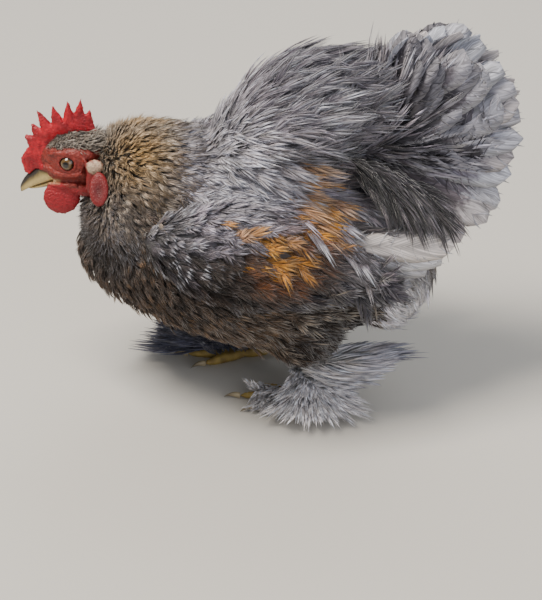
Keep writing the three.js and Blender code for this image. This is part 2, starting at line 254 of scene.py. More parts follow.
def coords(mesh: Mesh, kind: str = "vertices", key: str = "co") -> Array:
    """The vertices of a mesh, or another vector of each, as rows of three numbers.

    Args:
        mesh: The mesh.
        kind: The group that holds the vector.
        key: The vector's name.

    Returns:
        One row for each vertex.
    """
    flat = np.empty(len(mesh.vertices) * 3, np.float32)
    getattr(mesh, kind).foreach_get(key, flat)
    return flat.reshape(-1, 3).astype(float)


def normals(mesh: Mesh) -> Array:
    """The vertex normals of a mesh as rows of three numbers."""
    return coords(mesh, "vertex_normals", "vector")


def moulded(mesh: Mesh, points: Array) -> None:
    """Gives a mesh's vertices new places."""
    mesh.vertices.foreach_set("co", points.astype(np.float32).ravel())
    mesh.update()


def store(mesh: Mesh, name: str, kind: str, values: Array) -> None:
    """Stores one value for each vertex of a mesh as a named attribute.

    Args:
        mesh: The mesh.
        name: The attribute's name.
        kind: FLOAT_VECTOR or FLOAT_COLOR.
        values: One row for each vertex.
    """
    made = mesh.attributes.new(name, kind, "POINT")
    key = "color" if kind == "FLOAT_COLOR" else "vector"
    made.data.foreach_set(key, np.ascontiguousarray(values, np.float32).ravel())


def relax(mesh: Mesh, values: Array, rounds: int) -> Array:
    """Averages each vertex's values with its neighbours' a number of times.

    Args:
        mesh: The mesh whose edges join the neighbours.
        values: One row for each vertex.
        rounds: How many times to average.

    Returns:
        The evened rows.
    """
    flat = np.empty(len(mesh.edges) * 2, np.int32)
    mesh.edges.foreach_get("vertices", flat)
    a, b = flat.reshape(-1, 2).T
    count = len(mesh.vertices)
    near = 1 + np.bincount(a, minlength=count) + np.bincount(b, minlength=count)
    values = np.asarray(values, float).reshape(count, -1)
    for _ in range(rounds):
        columns = [
            c + np.bincount(a, c[b], count) + np.bincount(b, c[a], count) for c in values.T
        ]
        values = np.stack(columns, 1) / near[:, None]
    return values


def near_tree(points: Array) -> KDTree:
    """A search tree of points, each under its number.

    Args:
        points: The points, one in each row.

    Returns:
        The balanced tree.
    """
    tree = KDTree(len(points))
    for i, point in enumerate(points):
        tree.insert(point, i)
    tree.balance()
    return tree


# ---- The CAD's outer form


class Outline:
    """An outer surface, for asking what lies nearest to a point."""

    def __init__(self, points: list, faces: list, owner: list[str]) -> None:
        """Puts the surface in a search tree.

        Args:
            points: Its vertices, in metres.
            faces: Its faces, as lists of vertex numbers.
            owner: The CAD node that each face belongs to.
        """
        self.owner = owner
        self.tree = BVHTree.FromPolygons(points, faces)

    @classmethod
    def of_nodes(cls, nodes: list[str]) -> "Outline":
        """The surface of some CAD nodes, with each face's node as its owner.

        Args:
            nodes: The nodes' names.

        Returns:
            The surface.
        """
        points, faces, owner = [], [], []
        for name in nodes:
            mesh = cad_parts[name].data
            start = len(points)
            points += [tuple(v.co) for v in mesh.vertices]
            faces += [[start + i for i in p.vertices] for p in mesh.polygons]
            owner += [name] * len(mesh.polygons)
        return cls(points, faces, owner)

    def nearest(self, points: Array) -> tuple[Array, Array, Array]:
        """Finds the nearest place on the surface for each point.

        Args:
            points: Points of the frame, in metres.

        Returns:
            The places, the outward normals there, and the names of the nodes they are on.
        """
        found = [self.tree.find_nearest(p) for p in points]
        names = np.array([self.owner[f[2]] for f in found])
        return np.array([f[0] for f in found]), np.array([f[1] for f in found]), names


# ---- Markings, with painted light and shade


class Tract(Enum):
    """The bird's feather tracts, and the tuple of CAD nodes whose skin each grows from."""

    CROWN = ("head",)
    HACKLE = ("neck",)
    BREAST = ("trunk",)
    BACK = ("saddle",)
    WING = ("wing_left", "wing_right")
    FLUFF = ("fluff",)
    THIGH = ("thigh_left", "thigh_right")
    SHANK = ("shank_left", "shank_right")
    TAIL = ("tail",)
    FLIGHT = ("flights_left", "flights_right")
    FOOT = ("foot_feathers_left", "foot_feathers_right")
    HOCK = ("hock_feathers_left", "hock_feathers_right")


INK = SimpleNamespace(
    umber=linear("#5a4f49"),
    sooty=linear("#322a26"),
    straw=linear("#c9bdad"),
    brass=linear("#b8935a"),
    lavender=linear("#aca3b0"),
    pearl=linear("#d9dae3"),
    slate=linear("#57535e"),
    ink=linear("#38363d"),
    gold=linear("#d0902f"),
    gilt=linear("#dfa64e"),
    rust=linear("#8a5226"),
    chocolate=linear("#2c211b"),
    earth=linear("#74604c"),
    toffee=linear("#8a6844"),
    cloud=linear("#c6c4ce"),
    white=linear("#eceaee"),
    dusk=linear("#64667a"),
)


class MarkingsAndPaintedLight:
    """The bird's markings by place, in mm, for its skin and its coat alike, with some painted
    sunlight and shade.
    """

    # Middle and radius of each patch of one colour.
    GOLD_SPOTS = (
        (22, 72, 138, 5), (7, 72, 138, 5.5), (11, 68, 150, 3), (-3, 74, 130, 6), (-13, 76, 121, 10),
        (-31, 48, 148, 12), (-37, 53, 136, 13),
    )
    RUST_SPOTS = ((-34, 58, 132, 16), (-4, 76, 111, 9), (-20, 78, 112, 10), (-44, 48, 142, 14))
    # Painted highlights: where sunlight falls on the top of the back.
    PALE_SPOTS = ((25, 46, 160, 21), (2, 48, 154, 19), (-20, 44, 164, 15), (16, 30, 172, 19))
    SLATE_SPOTS = ((-20, 12, 202, 22), (-60, 30, 160, 18), (-30, 0, 212, 16))
    DARK_SPOTS = (
        (-18, 45, 173, 8), (-34, 41, 169, 11), (-49, 34, 165, 13), (-62, 36, 155, 14),
    )

    def ground(self, points: Array, names: Array) -> Array:
        """The ground colour of the plumage, with painted highlights and shade in places.

        Args:
            points: Places in mm.
            names: The CAD node that each place is on.

        Returns:
            One colour for each place.
        """
        x, y, z = points.T
        blotch = waves(points, 24, 3)
        back = blend(INK.lavender, INK.slate, 0.25 + 0.6 * blotch)
        # Paler towards the back's front: partly its own pale lavender, partly painted sunlight.
        back = blend(back, INK.cloud, 0.6 * rise(-6, 26, x) * rise(62, 40, x))
        back = blend(back, INK.slate, 0.8 * rise(0, -30, x) * rise(176, 200, z))
        back = blend(back, INK.slate, 0.8 * patches(points, self.SLATE_SPOTS))
        # Painted highlights where sunlight falls on the back.
        back = blend(back, INK.cloud, 0.65 * patches(points, self.PALE_SPOTS))
        back = blend(back, INK.ink * 0.75, 0.95 * patches(points, self.DARK_SPOTS))
        breast = blend(INK.sooty, INK.umber, 0.6 + 0.4 * blotch)
        belly = blend(INK.earth, INK.sooty, 0.2 + 0.8 * rise(20, -40, x))
        colour = blend(breast, belly, rise(30, -10, x) * rise(100, 70, z))
        # Painted shade on the breast under the wing.
        colour = blend(colour, INK.sooty, 0.7 * blob(points, (14, 66, 88), 30))
        colour = blend(colour, back, rise(118, 138, z + 0.25 * (40 - x)) * rise(92, 60, x))
        colour = blend(colour, back, rise(-20, -60, x) * rise(104, 120, z))
        neck = blend(INK.umber, INK.straw, 0.08 + 0.34 * waves(points, 12, 5))
        neck = blend(neck, INK.straw, 0.2 * rise(140, 156, z))
        neck = blend(neck, INK.brass, 0.9 * blob(points, (68, 22, 160), 18))
        neck = blend(neck, INK.umber, 0.6 * rise(134, 112, z))
        # Darker at the neck's foot: partly the dark breast it meets, partly painted shade under the
        # overhanging skirt.
        neck = blend(neck, INK.sooty, 0.85 * rise(116, 104, z))
        neck = blend(neck, back, rise(54, 36, x) * rise(118, 132, z))
        crown = blend(INK.umber, INK.straw, 0.15 + 0.5 * waves(points, 5, 6))
        wing = self.wing(points)
        pale = blend(INK.cloud, INK.lavender, 0.3 * blotch)
        on = {tract: np.isin(names, tract.value) for tract in Tract}
        loose = on[Tract.FLUFF] | on[Tract.HOCK] | on[Tract.FOOT] | on[Tract.SHANK]
        loose |= on[Tract.THIGH]
        for where, hue in (
            (on[Tract.HACKLE], neck), (on[Tract.CROWN], crown), (on[Tract.BACK], back),
            (on[Tract.WING] | on[Tract.FLIGHT], wing), (loose, pale),
        ):
            colour = np.where(where[:, None], hue, colour)
        # The near side's low loose feathers whitened: partly their own pale colour, partly painted
        # sunlight.
        near = (loose & (y > 0)) * rise(46, 30, z)
        colour = blend(colour, INK.white, 0.95 * near)
        colour = blend(colour, INK.dusk, 0.85 * on[Tract.HOCK] * rise(-58, -84, x))
        # Painted shade: the far side's low loose feathers darkened as if in shadow.
        far = loose & (y < 0) & (z < 60)
        colour = np.where(far[:, None], blend(INK.dusk, INK.ink, 0.1 + 0.35 * blotch), colour)
        thigh = on[Tract.THIGH] * rise(32, 42, z)
        colour = blend(colour, blend(INK.umber, INK.chocolate, 0.8 + 0.2 * blotch), thigh)
        tail = blend(INK.lavender, INK.slate, 0.15 + 0.45 * waves(points, 16, 8))
        colour = np.where(on[Tract.TAIL][:, None], tail, colour)
        return colour * (1, 1, 1, 0) + (0, 0, 0, 1)

    def wing(self, points: Array) -> Array:
        """The wing's colours at places: slate, with gold and rust above dark chocolate.

        Args:
            points: Places in mm.

        Returns:
            One colour for each place.
        """
        x, _, z = points.T
        upper = blend(INK.lavender, INK.slate, 0.1 + 0.65 * waves(points, 15, 11))
        lower = blend(INK.chocolate, INK.umber, 0.25 * waves(points, 15, 12))
        shoulder = blend(INK.slate, INK.sooty, 0.35 + 0.6 * waves(points, 12, 13))
        shoulder = blend(shoulder, INK.cloud, 0.35 * rise(118, 134, z))
        upper = blend(upper, INK.cloud, 0.75 * blob(points, (10, 64, 152), 18))
        colour = blend(upper, lower, rise(131, 121, z + 0.12 * x))
        colour = blend(colour, shoulder, rise(30, 44, x))
        slatey = blend(INK.slate, INK.ink, 0.3 + 0.7 * waves(points, 14, 14))
        colour = blend(colour, slatey, rise(98, 84, z + 0.12 * x))
        pale = rise(-34, -48, x) * rise(92, 104, z)
        colour = blend(colour, blend(INK.cloud, INK.slate, 0.7 * waves(points, 9, 15)), 0.4 * pale)
        return blend(colour, INK.rust, patches(points, self.RUST_SPOTS) * 0.85)

    def golden(self, points: Array) -> Array:
        """How likely a wing feather is to be gold at each place, from 0 to 1."""
        return patches(points, self.GOLD_SPOTS, 1.5)


MARKINGS_AND_LIGHT = MarkingsAndPaintedLight()


# ---- The skin


def copied(names: list[str], grow: float, name: str) -> Object:
    """Joins merged copies of CAD nodes, each swollen a little so that thin cuts close.

    Args:
        names: The CAD nodes.
        grow: How far each copy swells, in metres.
        name: The new object's name.

    Returns:
        One object with all the copies as loose parts.
    """
    whole = bmesh.new()
    for node in names:
        part = bmesh.new()
        part.from_mesh(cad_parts[node].data)
        bmesh.ops.remove_doubles(part, verts=part.verts, dist=1e-6)
        part.normal_update()
        verts = [whole.verts.new(v.co + v.normal * grow) for v in part.verts]
        for f in part.faces:
            whole.faces.new([verts[v.index] for v in f.verts])
        part.free()
    mesh = bpy.data.meshes.new(name)
    whole.to_mesh(mesh)
    whole.free()
    return linked(name, mesh)


def melted(rough: Object, voxel: float) -> Object:
    """Melts an object's overlapping parts into one even closed mesh.

    Args:
        rough: The object of overlapping parts.
        voxel: The grid's step in mm.

    Returns:
        The closed object.
    """
    rough.modifiers.new("melt", "REMESH").voxel_size = voxel
    settled(rough)
    return rough


def tube(rings: int, sides: int) -> list[list[int]]:
    """The faces of a closed tube with flat ends, ring after ring.

    Args:
        rings: How many rings there are.
        sides: How many points a ring has.

    Returns:
        The faces as point numbers.
    """
    last = (rings - 1) * sides
    faces = [
        [r + i, r + (i + 1) % sides, r + sides + (i + 1) % sides, r + sides + i]
        for r in range(0, last, sides)
        for i in range(sides)
    ]
    return faces + [list(range(sides))[::-1], [last + i for i in range(sides)]]


def loft(path: Array, across: Array, above: Array, sizes: Array, sides: int) -> tuple:
    """A closed tube of oval rings along a path.

    Args:
        path: Ring centres.
        across: The side direction of each ring.
        above: The up direction of each ring.
        sizes: Half width and half height of each ring.
        sides: Corners of one ring.

    Returns:
        The points and the faces.
    """
    turn = np.linspace(0, 2 * math.pi, sides, endpoint=False)
    ring = across[:, None] * (sizes[:, :1] * np.cos(turn))[..., None]
    ring = ring + above[:, None] * (sizes[:, 1:] * np.sin(turn))[..., None]
    return (path[:, None] + ring).reshape(-1, 3), tube(len(path), sides)


@dataclass
class Skin:
    """The one skin over head, body and feet, deeper than the coat's outer form."""

    body_voxel: float = 2.3 * MM
    head_voxel: float = 0.6 * MM
    foot_voxel: float = 0.65 * MM
    swell: float = 0.4 * MM
    depth: dict[str, float] = field(
        default_factory=lambda: {
            "neck": 7, "trunk": 7, "saddle": 9, "fluff": 6, "wing": 5, "thigh": 6, "shank": 3,
        }
    )
    # How far each rim lies out from the eye's centre, its radius and its thickness.
    lids: tuple = ((3.3, 4.75, 0.9), (2.1, 6.7, 0.8), (1.0, 8.6, 0.8))
    lid_steps: int = 40
    lid_sides: int = 10
    # Three knots and the thickness of each roll: brow, cheek, jaw, ear, mouth and throat.
    rolls: tuple = (
        ((125, 7.8, 153.4), (116, 10.8, 156.8), (106, 12.6, 154.6), 1.3),
        ((124, 8.2, 142.4), (115, 12.2, 140.4), (105, 13.8, 143.6), 1.6),
        ((126, 6.6, 134.4), (119, 9.8, 133.2), (108, 12.4, 136.4), 1.8),
        ((104.4, 13.4, 153), (100.8, 14.6, 148), (102, 14.8, 141), 1.5),
        ((117, 8.4, 142.4), (125, 6.4, 144.4), (131, 0.4, 141.6), 2.7),
        ((117, 7.4, 135), (108, 9.0, 132.6), (97, 10.4, 129.4), 4.2),
    )
    lobe_knob: tuple = (97.8, 16.4, 149.8)  # middle of the earlobe's pale round top
    knob_size: tuple = (5.1, 2.6, 4.5)
    lobe_drop: tuple = (95.4, 25.4, 140)  # middle of its hanging lower part
    drop_size: tuple = (5.9, 2.3, 10.4)
    drop_lean: float = 0.56  # radians
    scute: float = 2.3  # length of one scale on a toe

    def envelope(self) -> Outline:
        """The smooth outer form of the plumage, out to which the feather tips reach.

        Returns:
            The outer form.
        """
        rough = melted(copied([*BODY, "head", "tail"], self.swell, "envelope"), self.body_voxel)
        points = relax(rough.data, coords(rough.data), 8)
        faces = [list(p.vertices) for p in rough.data.polygons]
        bpy.data.objects.remove(rough)
        return Outline(points.tolist(), faces, ["envelope"] * len(faces))

    def build_body(self) -> tuple[Object, Array]:
        """The feathered part of the skin, moved in by the depth of each region's coat.

        Returns:
            The part, and the name of the CAD node that each of its points is under.
        """
        made = melted(copied(BODY, self.swell, "skin"), self.body_voxel)
        mesh = made.data
        points = relax(mesh, coords(mesh), 6)
        moulded(mesh, points)
        _, _, names = Outline.of_nodes(BODY).nearest(points)
        depth = np.array([self.depth[name.split("_")[0]] for name in names])
        spots, on_neck = measure(points), names == "neck"
        depth = depth * (1 - 0.62 * rise(76, 100, spots[:, 0]) * on_neck)
        depth = depth + 4 * blob(spots, (95, 24, 140), 15) * on_neck
        depth = relax(mesh, depth, 14) * MM
        moulded(mesh, relax(mesh, points - normals(mesh) * depth, 3))
        return made, names

    def bare(self, points: Array) -> Array:
        """How bare the head's skin is at each place in mm, from 0 to 1.

        Args:
            points: Places in mm.

        Returns:
            One share for each place.
        """
        x, _, z = points.T
        crown = 156.8 + 1.2 * np.sin((x - 100) / 6)
        above = np.maximum(rise(crown + 1, crown - 1, z), rise(125, 128, x))
        behind = rise(93, 95.5, x)
        chin = rise(126, 131, z + 0.5 * (x - 100))
        return above * behind * chin

    def lid_rings(self) -> list[tuple[Array, list]]:
        """The thick rims of the eyelids, and the fold round them, as rings.

        Returns:
            The points and faces of each ring.
        """
        made, count, sides = [], self.lid_steps, self.lid_sides
        last = (count - 1) * sides
        close = [[last + i, last + (i + 1) % sides, (i + 1) % sides, i] for i in range(sides)]
        turn = np.linspace(0, 2 * math.pi, count, endpoint=False)[:, None]
        for sign in SIDES.values():
            look = unit(np.array(EYE_LOOK) * (1, sign, 1))
            level = unit(np.cross((0, 0, 1), look))
            way = level * np.cos(turn) * 1.08 + np.cross(look, level) * np.sin(turn) * 0.94
            for out, radius, thick in self.lids:
                centre = np.array(EYE_CENTRE) * (1, sign, 1) + look * out
                path = place(0, 0, 0) + (centre + way * radius) * MM
                sizes = np.full((count, 2), thick * MM)
                points, faces = loft(path, unit(way), np.tile(look, (count, 1)), sizes, sides)
                made.append((points, faces[:-2] + close))
        return made

    def folds(self) -> list[tuple[Array, list]]:
        """Soft rolls of bare skin on both sides of the face.

        Returns:
            The points and faces of each roll.
        """
        made = []
        t = np.linspace(0, 1, 14)[:, None]
        for sign in SIDES.values():
            for *knots, thick in self.rolls:
                a, b, c = (np.array(k) * (1, sign, 1) for k in knots)
                path = place(0, 0, 0) + (a * (1 - t) ** 2 + 2 * b * t * (1 - t) + c * t * t) * MM
                along = unit(np.gradient(path, axis=0))
                up = unit(np.cross(along, np.tile((0.0, sign, 0.0), (len(t), 1))))
                swell = np.sqrt(np.clip(np.sin(math.pi * (0.03 + 0.94 * t)), 0, 1))
                sizes = np.repeat(swell * thick * MM, 2, axis=1)
                made.append(loft(path, up, np.cross(up, along), sizes, 8))
        return made

    def build_head(self) -> Object:
        """The head with its comb, wattles, earlobes, eyelids and folds of bare skin.

        Returns:
            The head.
        """
        made = copied(FACE, self.swell, "head_skin")
        grown = bmesh.new()
        grown.from_mesh(made.data)
        for points, faces in self.lid_rings() + self.folds():
            verts = [grown.verts.new(p) for p in points]
            roll = [grown.faces.new([verts[i] for i in f]) for f in faces]
            bmesh.ops.recalc_face_normals(grown, faces=roll)
        for sign in SIDES.values():
            for (x, y, z), lean, size in (
                (self.lobe_knob, 0.0, self.knob_size),
                (self.lobe_drop, self.drop_lean, self.drop_size),
            ):
                matrix = Matrix.Translation(place(x, y * sign, z))
                matrix = matrix @ Matrix.Rotation(lean * sign, 4, "X")
                matrix = matrix @ Matrix.Diagonal((*(s * MM for s in size), 1))
                bmesh.ops.create_icosphere(grown, subdivisions=3, radius=1, matrix=matrix)
        grown.to_mesh(made.data)
        grown.free()
        melted(made, self.head_voxel)
        mesh = made.data
        points = relax(mesh, coords(mesh), 5)
        moulded(mesh, points)
        spots = measure(points)
        _, _, names = Outline.of_nodes(FACE).nearest(points)
        bare = np.where(names == "head", self.bare(spots), 1.0)
        grain = waves(spots, 1.7, 21) + waves(spots, 1.2, 22) - 1
        grain = grain + 1.6 * (waves(spots * (1, 1, 0.35), 3.4, 23) - 0.5) * (names == "comb")
        calm = np.clip(blob(spots, EYE_CENTRE, 5.2) * 1.4, 0, 1)
        calm = calm + (np.char.startswith(names, "earlobe") & (spots[:, 2] < 146))
        grain = grain * bare * (1 - 0.8 * np.minimum(calm, 1)) * 0.34
        sink = relax(mesh, (1 - bare) * 2.0, 6)[:, 0] + 1.3 * self.dish(spots)
        moulded(mesh, points + normals(mesh) * ((grain - sink) * MM)[:, None])
        return made

    def dish(self, spots: Array) -> Array:
        """How deep in the hollow of an earlobe's lower part each place is, from 0 to 1."""
        off = left(spots) - np.array(self.lobe_drop)
        return np.exp(-((off[:, 0] / 3.4) ** 2) - (off[:, 2] / 5.2) ** 2) * (off[:, 1] > -7)

    def build_foot(self, side: str) -> Object:
        """One foot, its toes ringed by scutes above and flat below.

        Args:
            side: left or right.

        Returns:
            The foot.
        """
        made = melted(copied([f"foot_{side}"], 0, f"foot_skin_{side}"), self.foot_voxel)
        mesh = made.data
        sole = coords(mesh)
        points = relax(mesh, sole, 4)
        spots = measure(points) - (*HEELS[side], 0) - (TOE_START, 0, 0)
        reach, nearest = np.zeros(len(points)), np.full(len(points), 1e9)
        for aim, _ in TOES.values():
            turn = math.radians(aim)
            way = np.array([math.cos(turn), SIDES[side] * math.sin(turn)])
            along = spots[:, :2] @ way
            off = np.abs(spots[:, 0] * way[1] - spots[:, 1] * way[0]) + 20 * (along < 0)
            reach = np.where(off < nearest, along, reach)
            nearest = np.minimum(off, nearest)
        step = np.abs(np.sin(math.pi * reach / self.scute)) ** 0.6 - 0.6
        shift = step * rise(1.5, 3.2, spots[:, 2]) * 0.35 * MM * rise(3, 8, reach)
        points = points + normals(mesh) * shift[:, None]
        flat = measure(sole)[:, 2] < 0.25
        points[:, 2] = np.where(flat, 0.0, np.maximum(points[:, 2], 0))
        moulded(mesh, points)
        return made

    def colours(self, points: Array, names: Array) -> tuple[Array, Array]:
        """Colours the skin: red where bare, horn yellow on the toes, and elsewhere the plumage's
        colour darkened as painted shade between the feathers.

        Args:
            points: Places in mm.
            names: The CAD node that each place is on.

        Returns:
            One colour, and one row of bare share, scale share and pallor, for each place.
        """
        x, y, z = points.T
        red = blend(linear("#85291f"), linear("#651b18"), waves(points, 5, 31))
        comb = blend(linear("#c3182a"), linear("#92101f"), waves(points, 7, 35))
        gape = np.exp(-(((z - 136.6 + 0.2 * (x - 118.7)) / 0.9) ** 2)) * rise(117.4, 119.4, x)
        knob = np.linalg.norm((left(points) - self.lobe_knob) / (5.1, 3.2, 4.5), axis=1)
        cream = rise(1.15, 0.98, knob + 0.15 * waves(points, 3, 33)) * rise(11, 13, np.abs(y))
        for hue, share in (
            (linear("#a04238"), 0.5 * waves(points, 2.4, 32)),
            (linear("#971622"), 0.9 * np.char.startswith(names, "wattle")),
            (comb, 0.95 * (names == "comb")),
            (linear("#8c2622"), np.clip(blob(points, EYE_CENTRE, 5.0) * 1.2, 0, 0.8)),
            (linear("#7d191e"), 0.8 * np.char.startswith(names, "earlobe")),
            # The earlobe's hollow darkened: painted shade in the recess.
            (linear("#460f11"), 0.85 * self.dish(points)),
            (linear("#bfa677"), 0.85 * gape),
            (linear("#cdb49a"), 0.92 * cream),
        ):
            red = blend(red, hue, share)
        bare = np.where(names == "head", self.bare(points), 1.0)
        bare = np.where(np.isin(names, FACE), bare, 0.0)
        toe = np.char.startswith(names, "foot")
        scale = blend(linear("#b39a55"), linear("#8d7642"), waves(points, 6, 34))
        # Under the coat the skin is the plumage's colour darkened, and dark brown under the crown:
        # painted shade, so that gaps between feathers read as shadow.
        colour = MARKINGS_AND_LIGHT.ground(points, names) * (0.4, 0.4, 0.4, 1)
        colour = np.where((names == "head")[:, None], linear("#574c43"), colour)
        colour = blend(colour, red, bare)
        colour = np.where(toe[:, None], scale, colour)
        return colour, columns(bare, toe, cream)

    def build(self) -> tuple[Object, Array]:
        """Joins body, head and feet into one closed skin and colours it.

        Returns:
            The skin, still without a material, and the CAD node that each point is under.
        """
        made, body_names = self.build_body()
        near = near_tree(coords(made.data))
        parts = [self.build_head()] + [self.build_foot(side) for side in SIDES]
        for part in parts:
            join = made.modifiers.new("join", "BOOLEAN")
            join.operation, join.solver, join.object = "UNION", "MANIFOLD", part
        settled(made)
        for part in parts:
            bpy.data.objects.remove(part)
        mesh = made.data
        mesh.materials.clear()
        smoothed(mesh)
        points = coords(mesh)
        _, _, names = Outline.of_nodes(FACE + FEET).nearest(points)
        found = [near.find(p) for p in points]
        owned = np.array([body_names[f[1]] for f in found])
        names = np.where(np.array([f[2] for f in found]) < 0.02 * MM, owned, names)
        tint, kind = self.colours(measure(points), names)
        store(mesh, "tint", "FLOAT_COLOR", tint)
        store(mesh, "kind", "FLOAT_VECTOR", kind)
        return made, names


SHAPE = Skin()


# ---- One feather


@dataclass(frozen=True)
class Vane:
    """One feather's pattern: a web of joined barbs, with loose bundles of barbs round it.

    Its places are shares: along the shaft, across half the width, and of the shaft's height.
    """

    name: str
    rows: int = 0  # cross rows of the web; a loose feather has one bundle instead
    across: int = 1  # faces across one half of the web
    base: float = 0.3  # width at the quill, as a share of the widest place
    belly: float = 0.58  # where along the shaft it is widest
    tip: float = 2.0  # roundness of the tip: 1 is a point, 3 is blunt
    notch: float = 0.0  # how deep the gaps in the web's edge are
    loose: int = 0  # loose bundles on each side
    leave: tuple[float, float] = (0.08, 0.6)  # where the first and the last leave the shaft
    reach: float = 0.45  # how long they are, as a share of the feather
    slim: float = 0.2  # half a bundle's width, as a share of half the feather's
    joints: int = 2  # rings of one bundle
    full: float = 1.0  # the joined web's share of the width; loose bundles reach the rest
    streak: float = 0.14  # how much bundles differ in lightness
    stray: float = 1.2  # how far the longest bundles reach, times half the width

    def width(self, u: Array) -> Array:
        """Half the web's width along the shaft, as a share of the widest half.

        Args:
            u: Places along the shaft, from 0 to 1.

        Returns:
            One share for each place.
        """
        rising = self.base + (1 - self.base) * np.sin(math.pi / 2 * np.minimum(1, u / self.belly))
        past = np.clip((u - self.belly) / (1 - self.belly), 0, 1)
        return rising * np.sqrt(np.clip(1 - past**self.tip, 0, 1))

    def web(self, rng: Rng) -> tuple[Array, Array, list]:
        """The joined part of the feather, as a thin closed blade.

        Args:
            rng: The source of the edge's unevenness.

        Returns:
            Its places, their web values and its faces.
        """
        u = np.linspace(0, 1, self.rows + 1) ** 0.9
        share, side = np.meshgrid(u, np.linspace(-1, 1, 2 * self.across + 1), indexing="ij")
        half = np.maximum(self.full * self.width(u), 0.04)[:, None]
        edge = (np.abs(side) == 1) * rise(0, 0.1, share) * rise(1, 0.93, share)
        tooth = rng.uniform(-1, 1, share.shape) * edge
        along = np.minimum(share + (0.4 * tooth + 0.5 * np.abs(side)) / self.rows, 1)
        over = side * half * (1 + self.notch * tooth)
        places = np.stack([along, over, 1 - side**2], -1)
        rim = np.maximum(np.abs(side) ** 5, 0.3 + 0.7 * rise(0.25, 1.0, share))
        webs = np.stack([share, side, rim], -1)
        top = np.arange(share.size).reshape(share.shape)
        under = top[:, [0, -1]]
        points, values = places.reshape(-1, 3), webs.reshape(-1, 3)
        if self.across > 1:
            inner = places[:, 1:-1] * (1, 1, -0.5)
            under = np.arange(inner[..., 0].size).reshape(inner.shape[:2]) + share.size
            under = np.concatenate([top[:, :1], under, top[:, -1:]], 1)
            points = np.concatenate([points, inner.reshape(-1, 3)])
            values = np.concatenate([values, webs[:, 1:-1].reshape(-1, 3)])
        faces = []
        for grid, step in ((top, 1), (under, -1)):
            corners = (grid[:-1, :-1], grid[1:, :-1], grid[1:, 1:], grid[:-1, 1:])
            faces += np.stack([c.ravel() for c in corners], 1)[:, ::step].tolist()
        for row, step in ((0, 1), (-1, -1)):
            faces.append([*top[row], *under[row, 1:-1][::-1]][::step])
        return points, values, faces

    def bundle(self, rng: Rng, start: tuple, end: tuple, half: float) -> tuple[Array, Array, list]:
        """One bundle of barbs: a thin closed blade with a ridge, drawn out to a point.

        Args:
            rng: The source of its height among the others.
            start: Where it leaves the shaft, along and across.
            end: Where its point is.
            half: Half its width.

        Returns:
            Its places, their web values and its faces.
        """
        t = np.arange(self.joints) / self.joints
        middle = np.outer(1 - t, start) + np.outer(t, end)
        middle[:, 1] += (end[1] - start[1]) * 0.25 * np.sin(math.pi * t)
        slim = half * (0.55 + 0.45 * np.sin(math.pi * (0.12 + 0.7 * t)))
        level = rng.uniform(-1.1, 1.1)
        sides = columns(-slim, slim, 0)
        ridge = np.broadcast_to([0.0, 0.0, 1.0], sides.shape) + level
        along = np.repeat(middle[:, :1], 3, 1)
        rings = np.stack([along, middle[:, 1:] + sides, ridge], -1).reshape(-1, 3)
        points = np.concatenate([rings, [(*end, level + 0.3)]])
        tip_share = np.append(np.repeat(t, 3), 1.0)
        far = np.maximum(tip_share**1.2, 0.3 + 0.7 * rise(0.25, 1.0, points[:, 0]))
        webs = columns(points[:, 0], points[:, 1], far)
        last = 3 * self.joints
        faces = [[2, 1, 0]]
        for i in range(3):
            j = (i + 1) % 3
            faces += [[r + i, r + j, r + j + 3, r + i + 3] for r in range(0, last - 3, 3)]
            faces.append([last - 3 + i, last - 3 + j, last])
        return points, webs, faces

    def build(self, seed: int) -> Object:
        """Makes the pattern with its places stored in the attributes blade, web and tone.

        Args:
            seed: Picks one of many like feathers.

        Returns:
            A loose object that only the plumage tree uses.
        """
        rng = np.random.default_rng(seed)
        if self.rows:
            parts = [self.web(rng)]
        else:
            parts = [self.bundle(rng, (0, 0), (1, rng.normal(0, 0.08)), 1.5 * self.slim)]
        for side in (-1, 1):
            for k in range(self.loose):
                share = (k + rng.uniform(0.1, 0.9)) / self.loose
                leaves = self.leave[0] + (self.leave[1] - self.leave[0]) * share
                ends = min(leaves + self.reach * rng.uniform(0.8, 1.15), 1.04)
                wide = max(float(self.width(np.array(min(ends, 0.97)))), 0.25)
                over = side * wide * rng.uniform(0.75, self.stray)
                begin = (leaves, side * 0.5 * self.slim)
                half = self.slim * rng.uniform(0.75, 1.25)
                parts.append(self.bundle(rng, begin, (ends, over), half))
        places, webs, tones, faces = [], [], [], []
        for points, values, polygons in parts:
            start = len(places)
            places += points.tolist()
            webs += values.tolist()
            light = math.exp(rng.normal(0, self.streak)) if start else 1.0
            warm = rng.normal(0, 0.03)
            tones += [(light * (1 + warm), light, light * (1 - warm))] * len(points)
            faces += [[start + i for i in face] for face in polygons]
        mesh = bpy.data.meshes.new(self.name)
        mesh.from_pydata(places, [], faces)
        smoothed(mesh)
        for key, values in (("blade", places), ("web", webs), ("tone", tones)):
            store(mesh, key, "FLOAT_VECTOR", np.array(values))
        return bpy.data.objects.new(self.name, mesh)


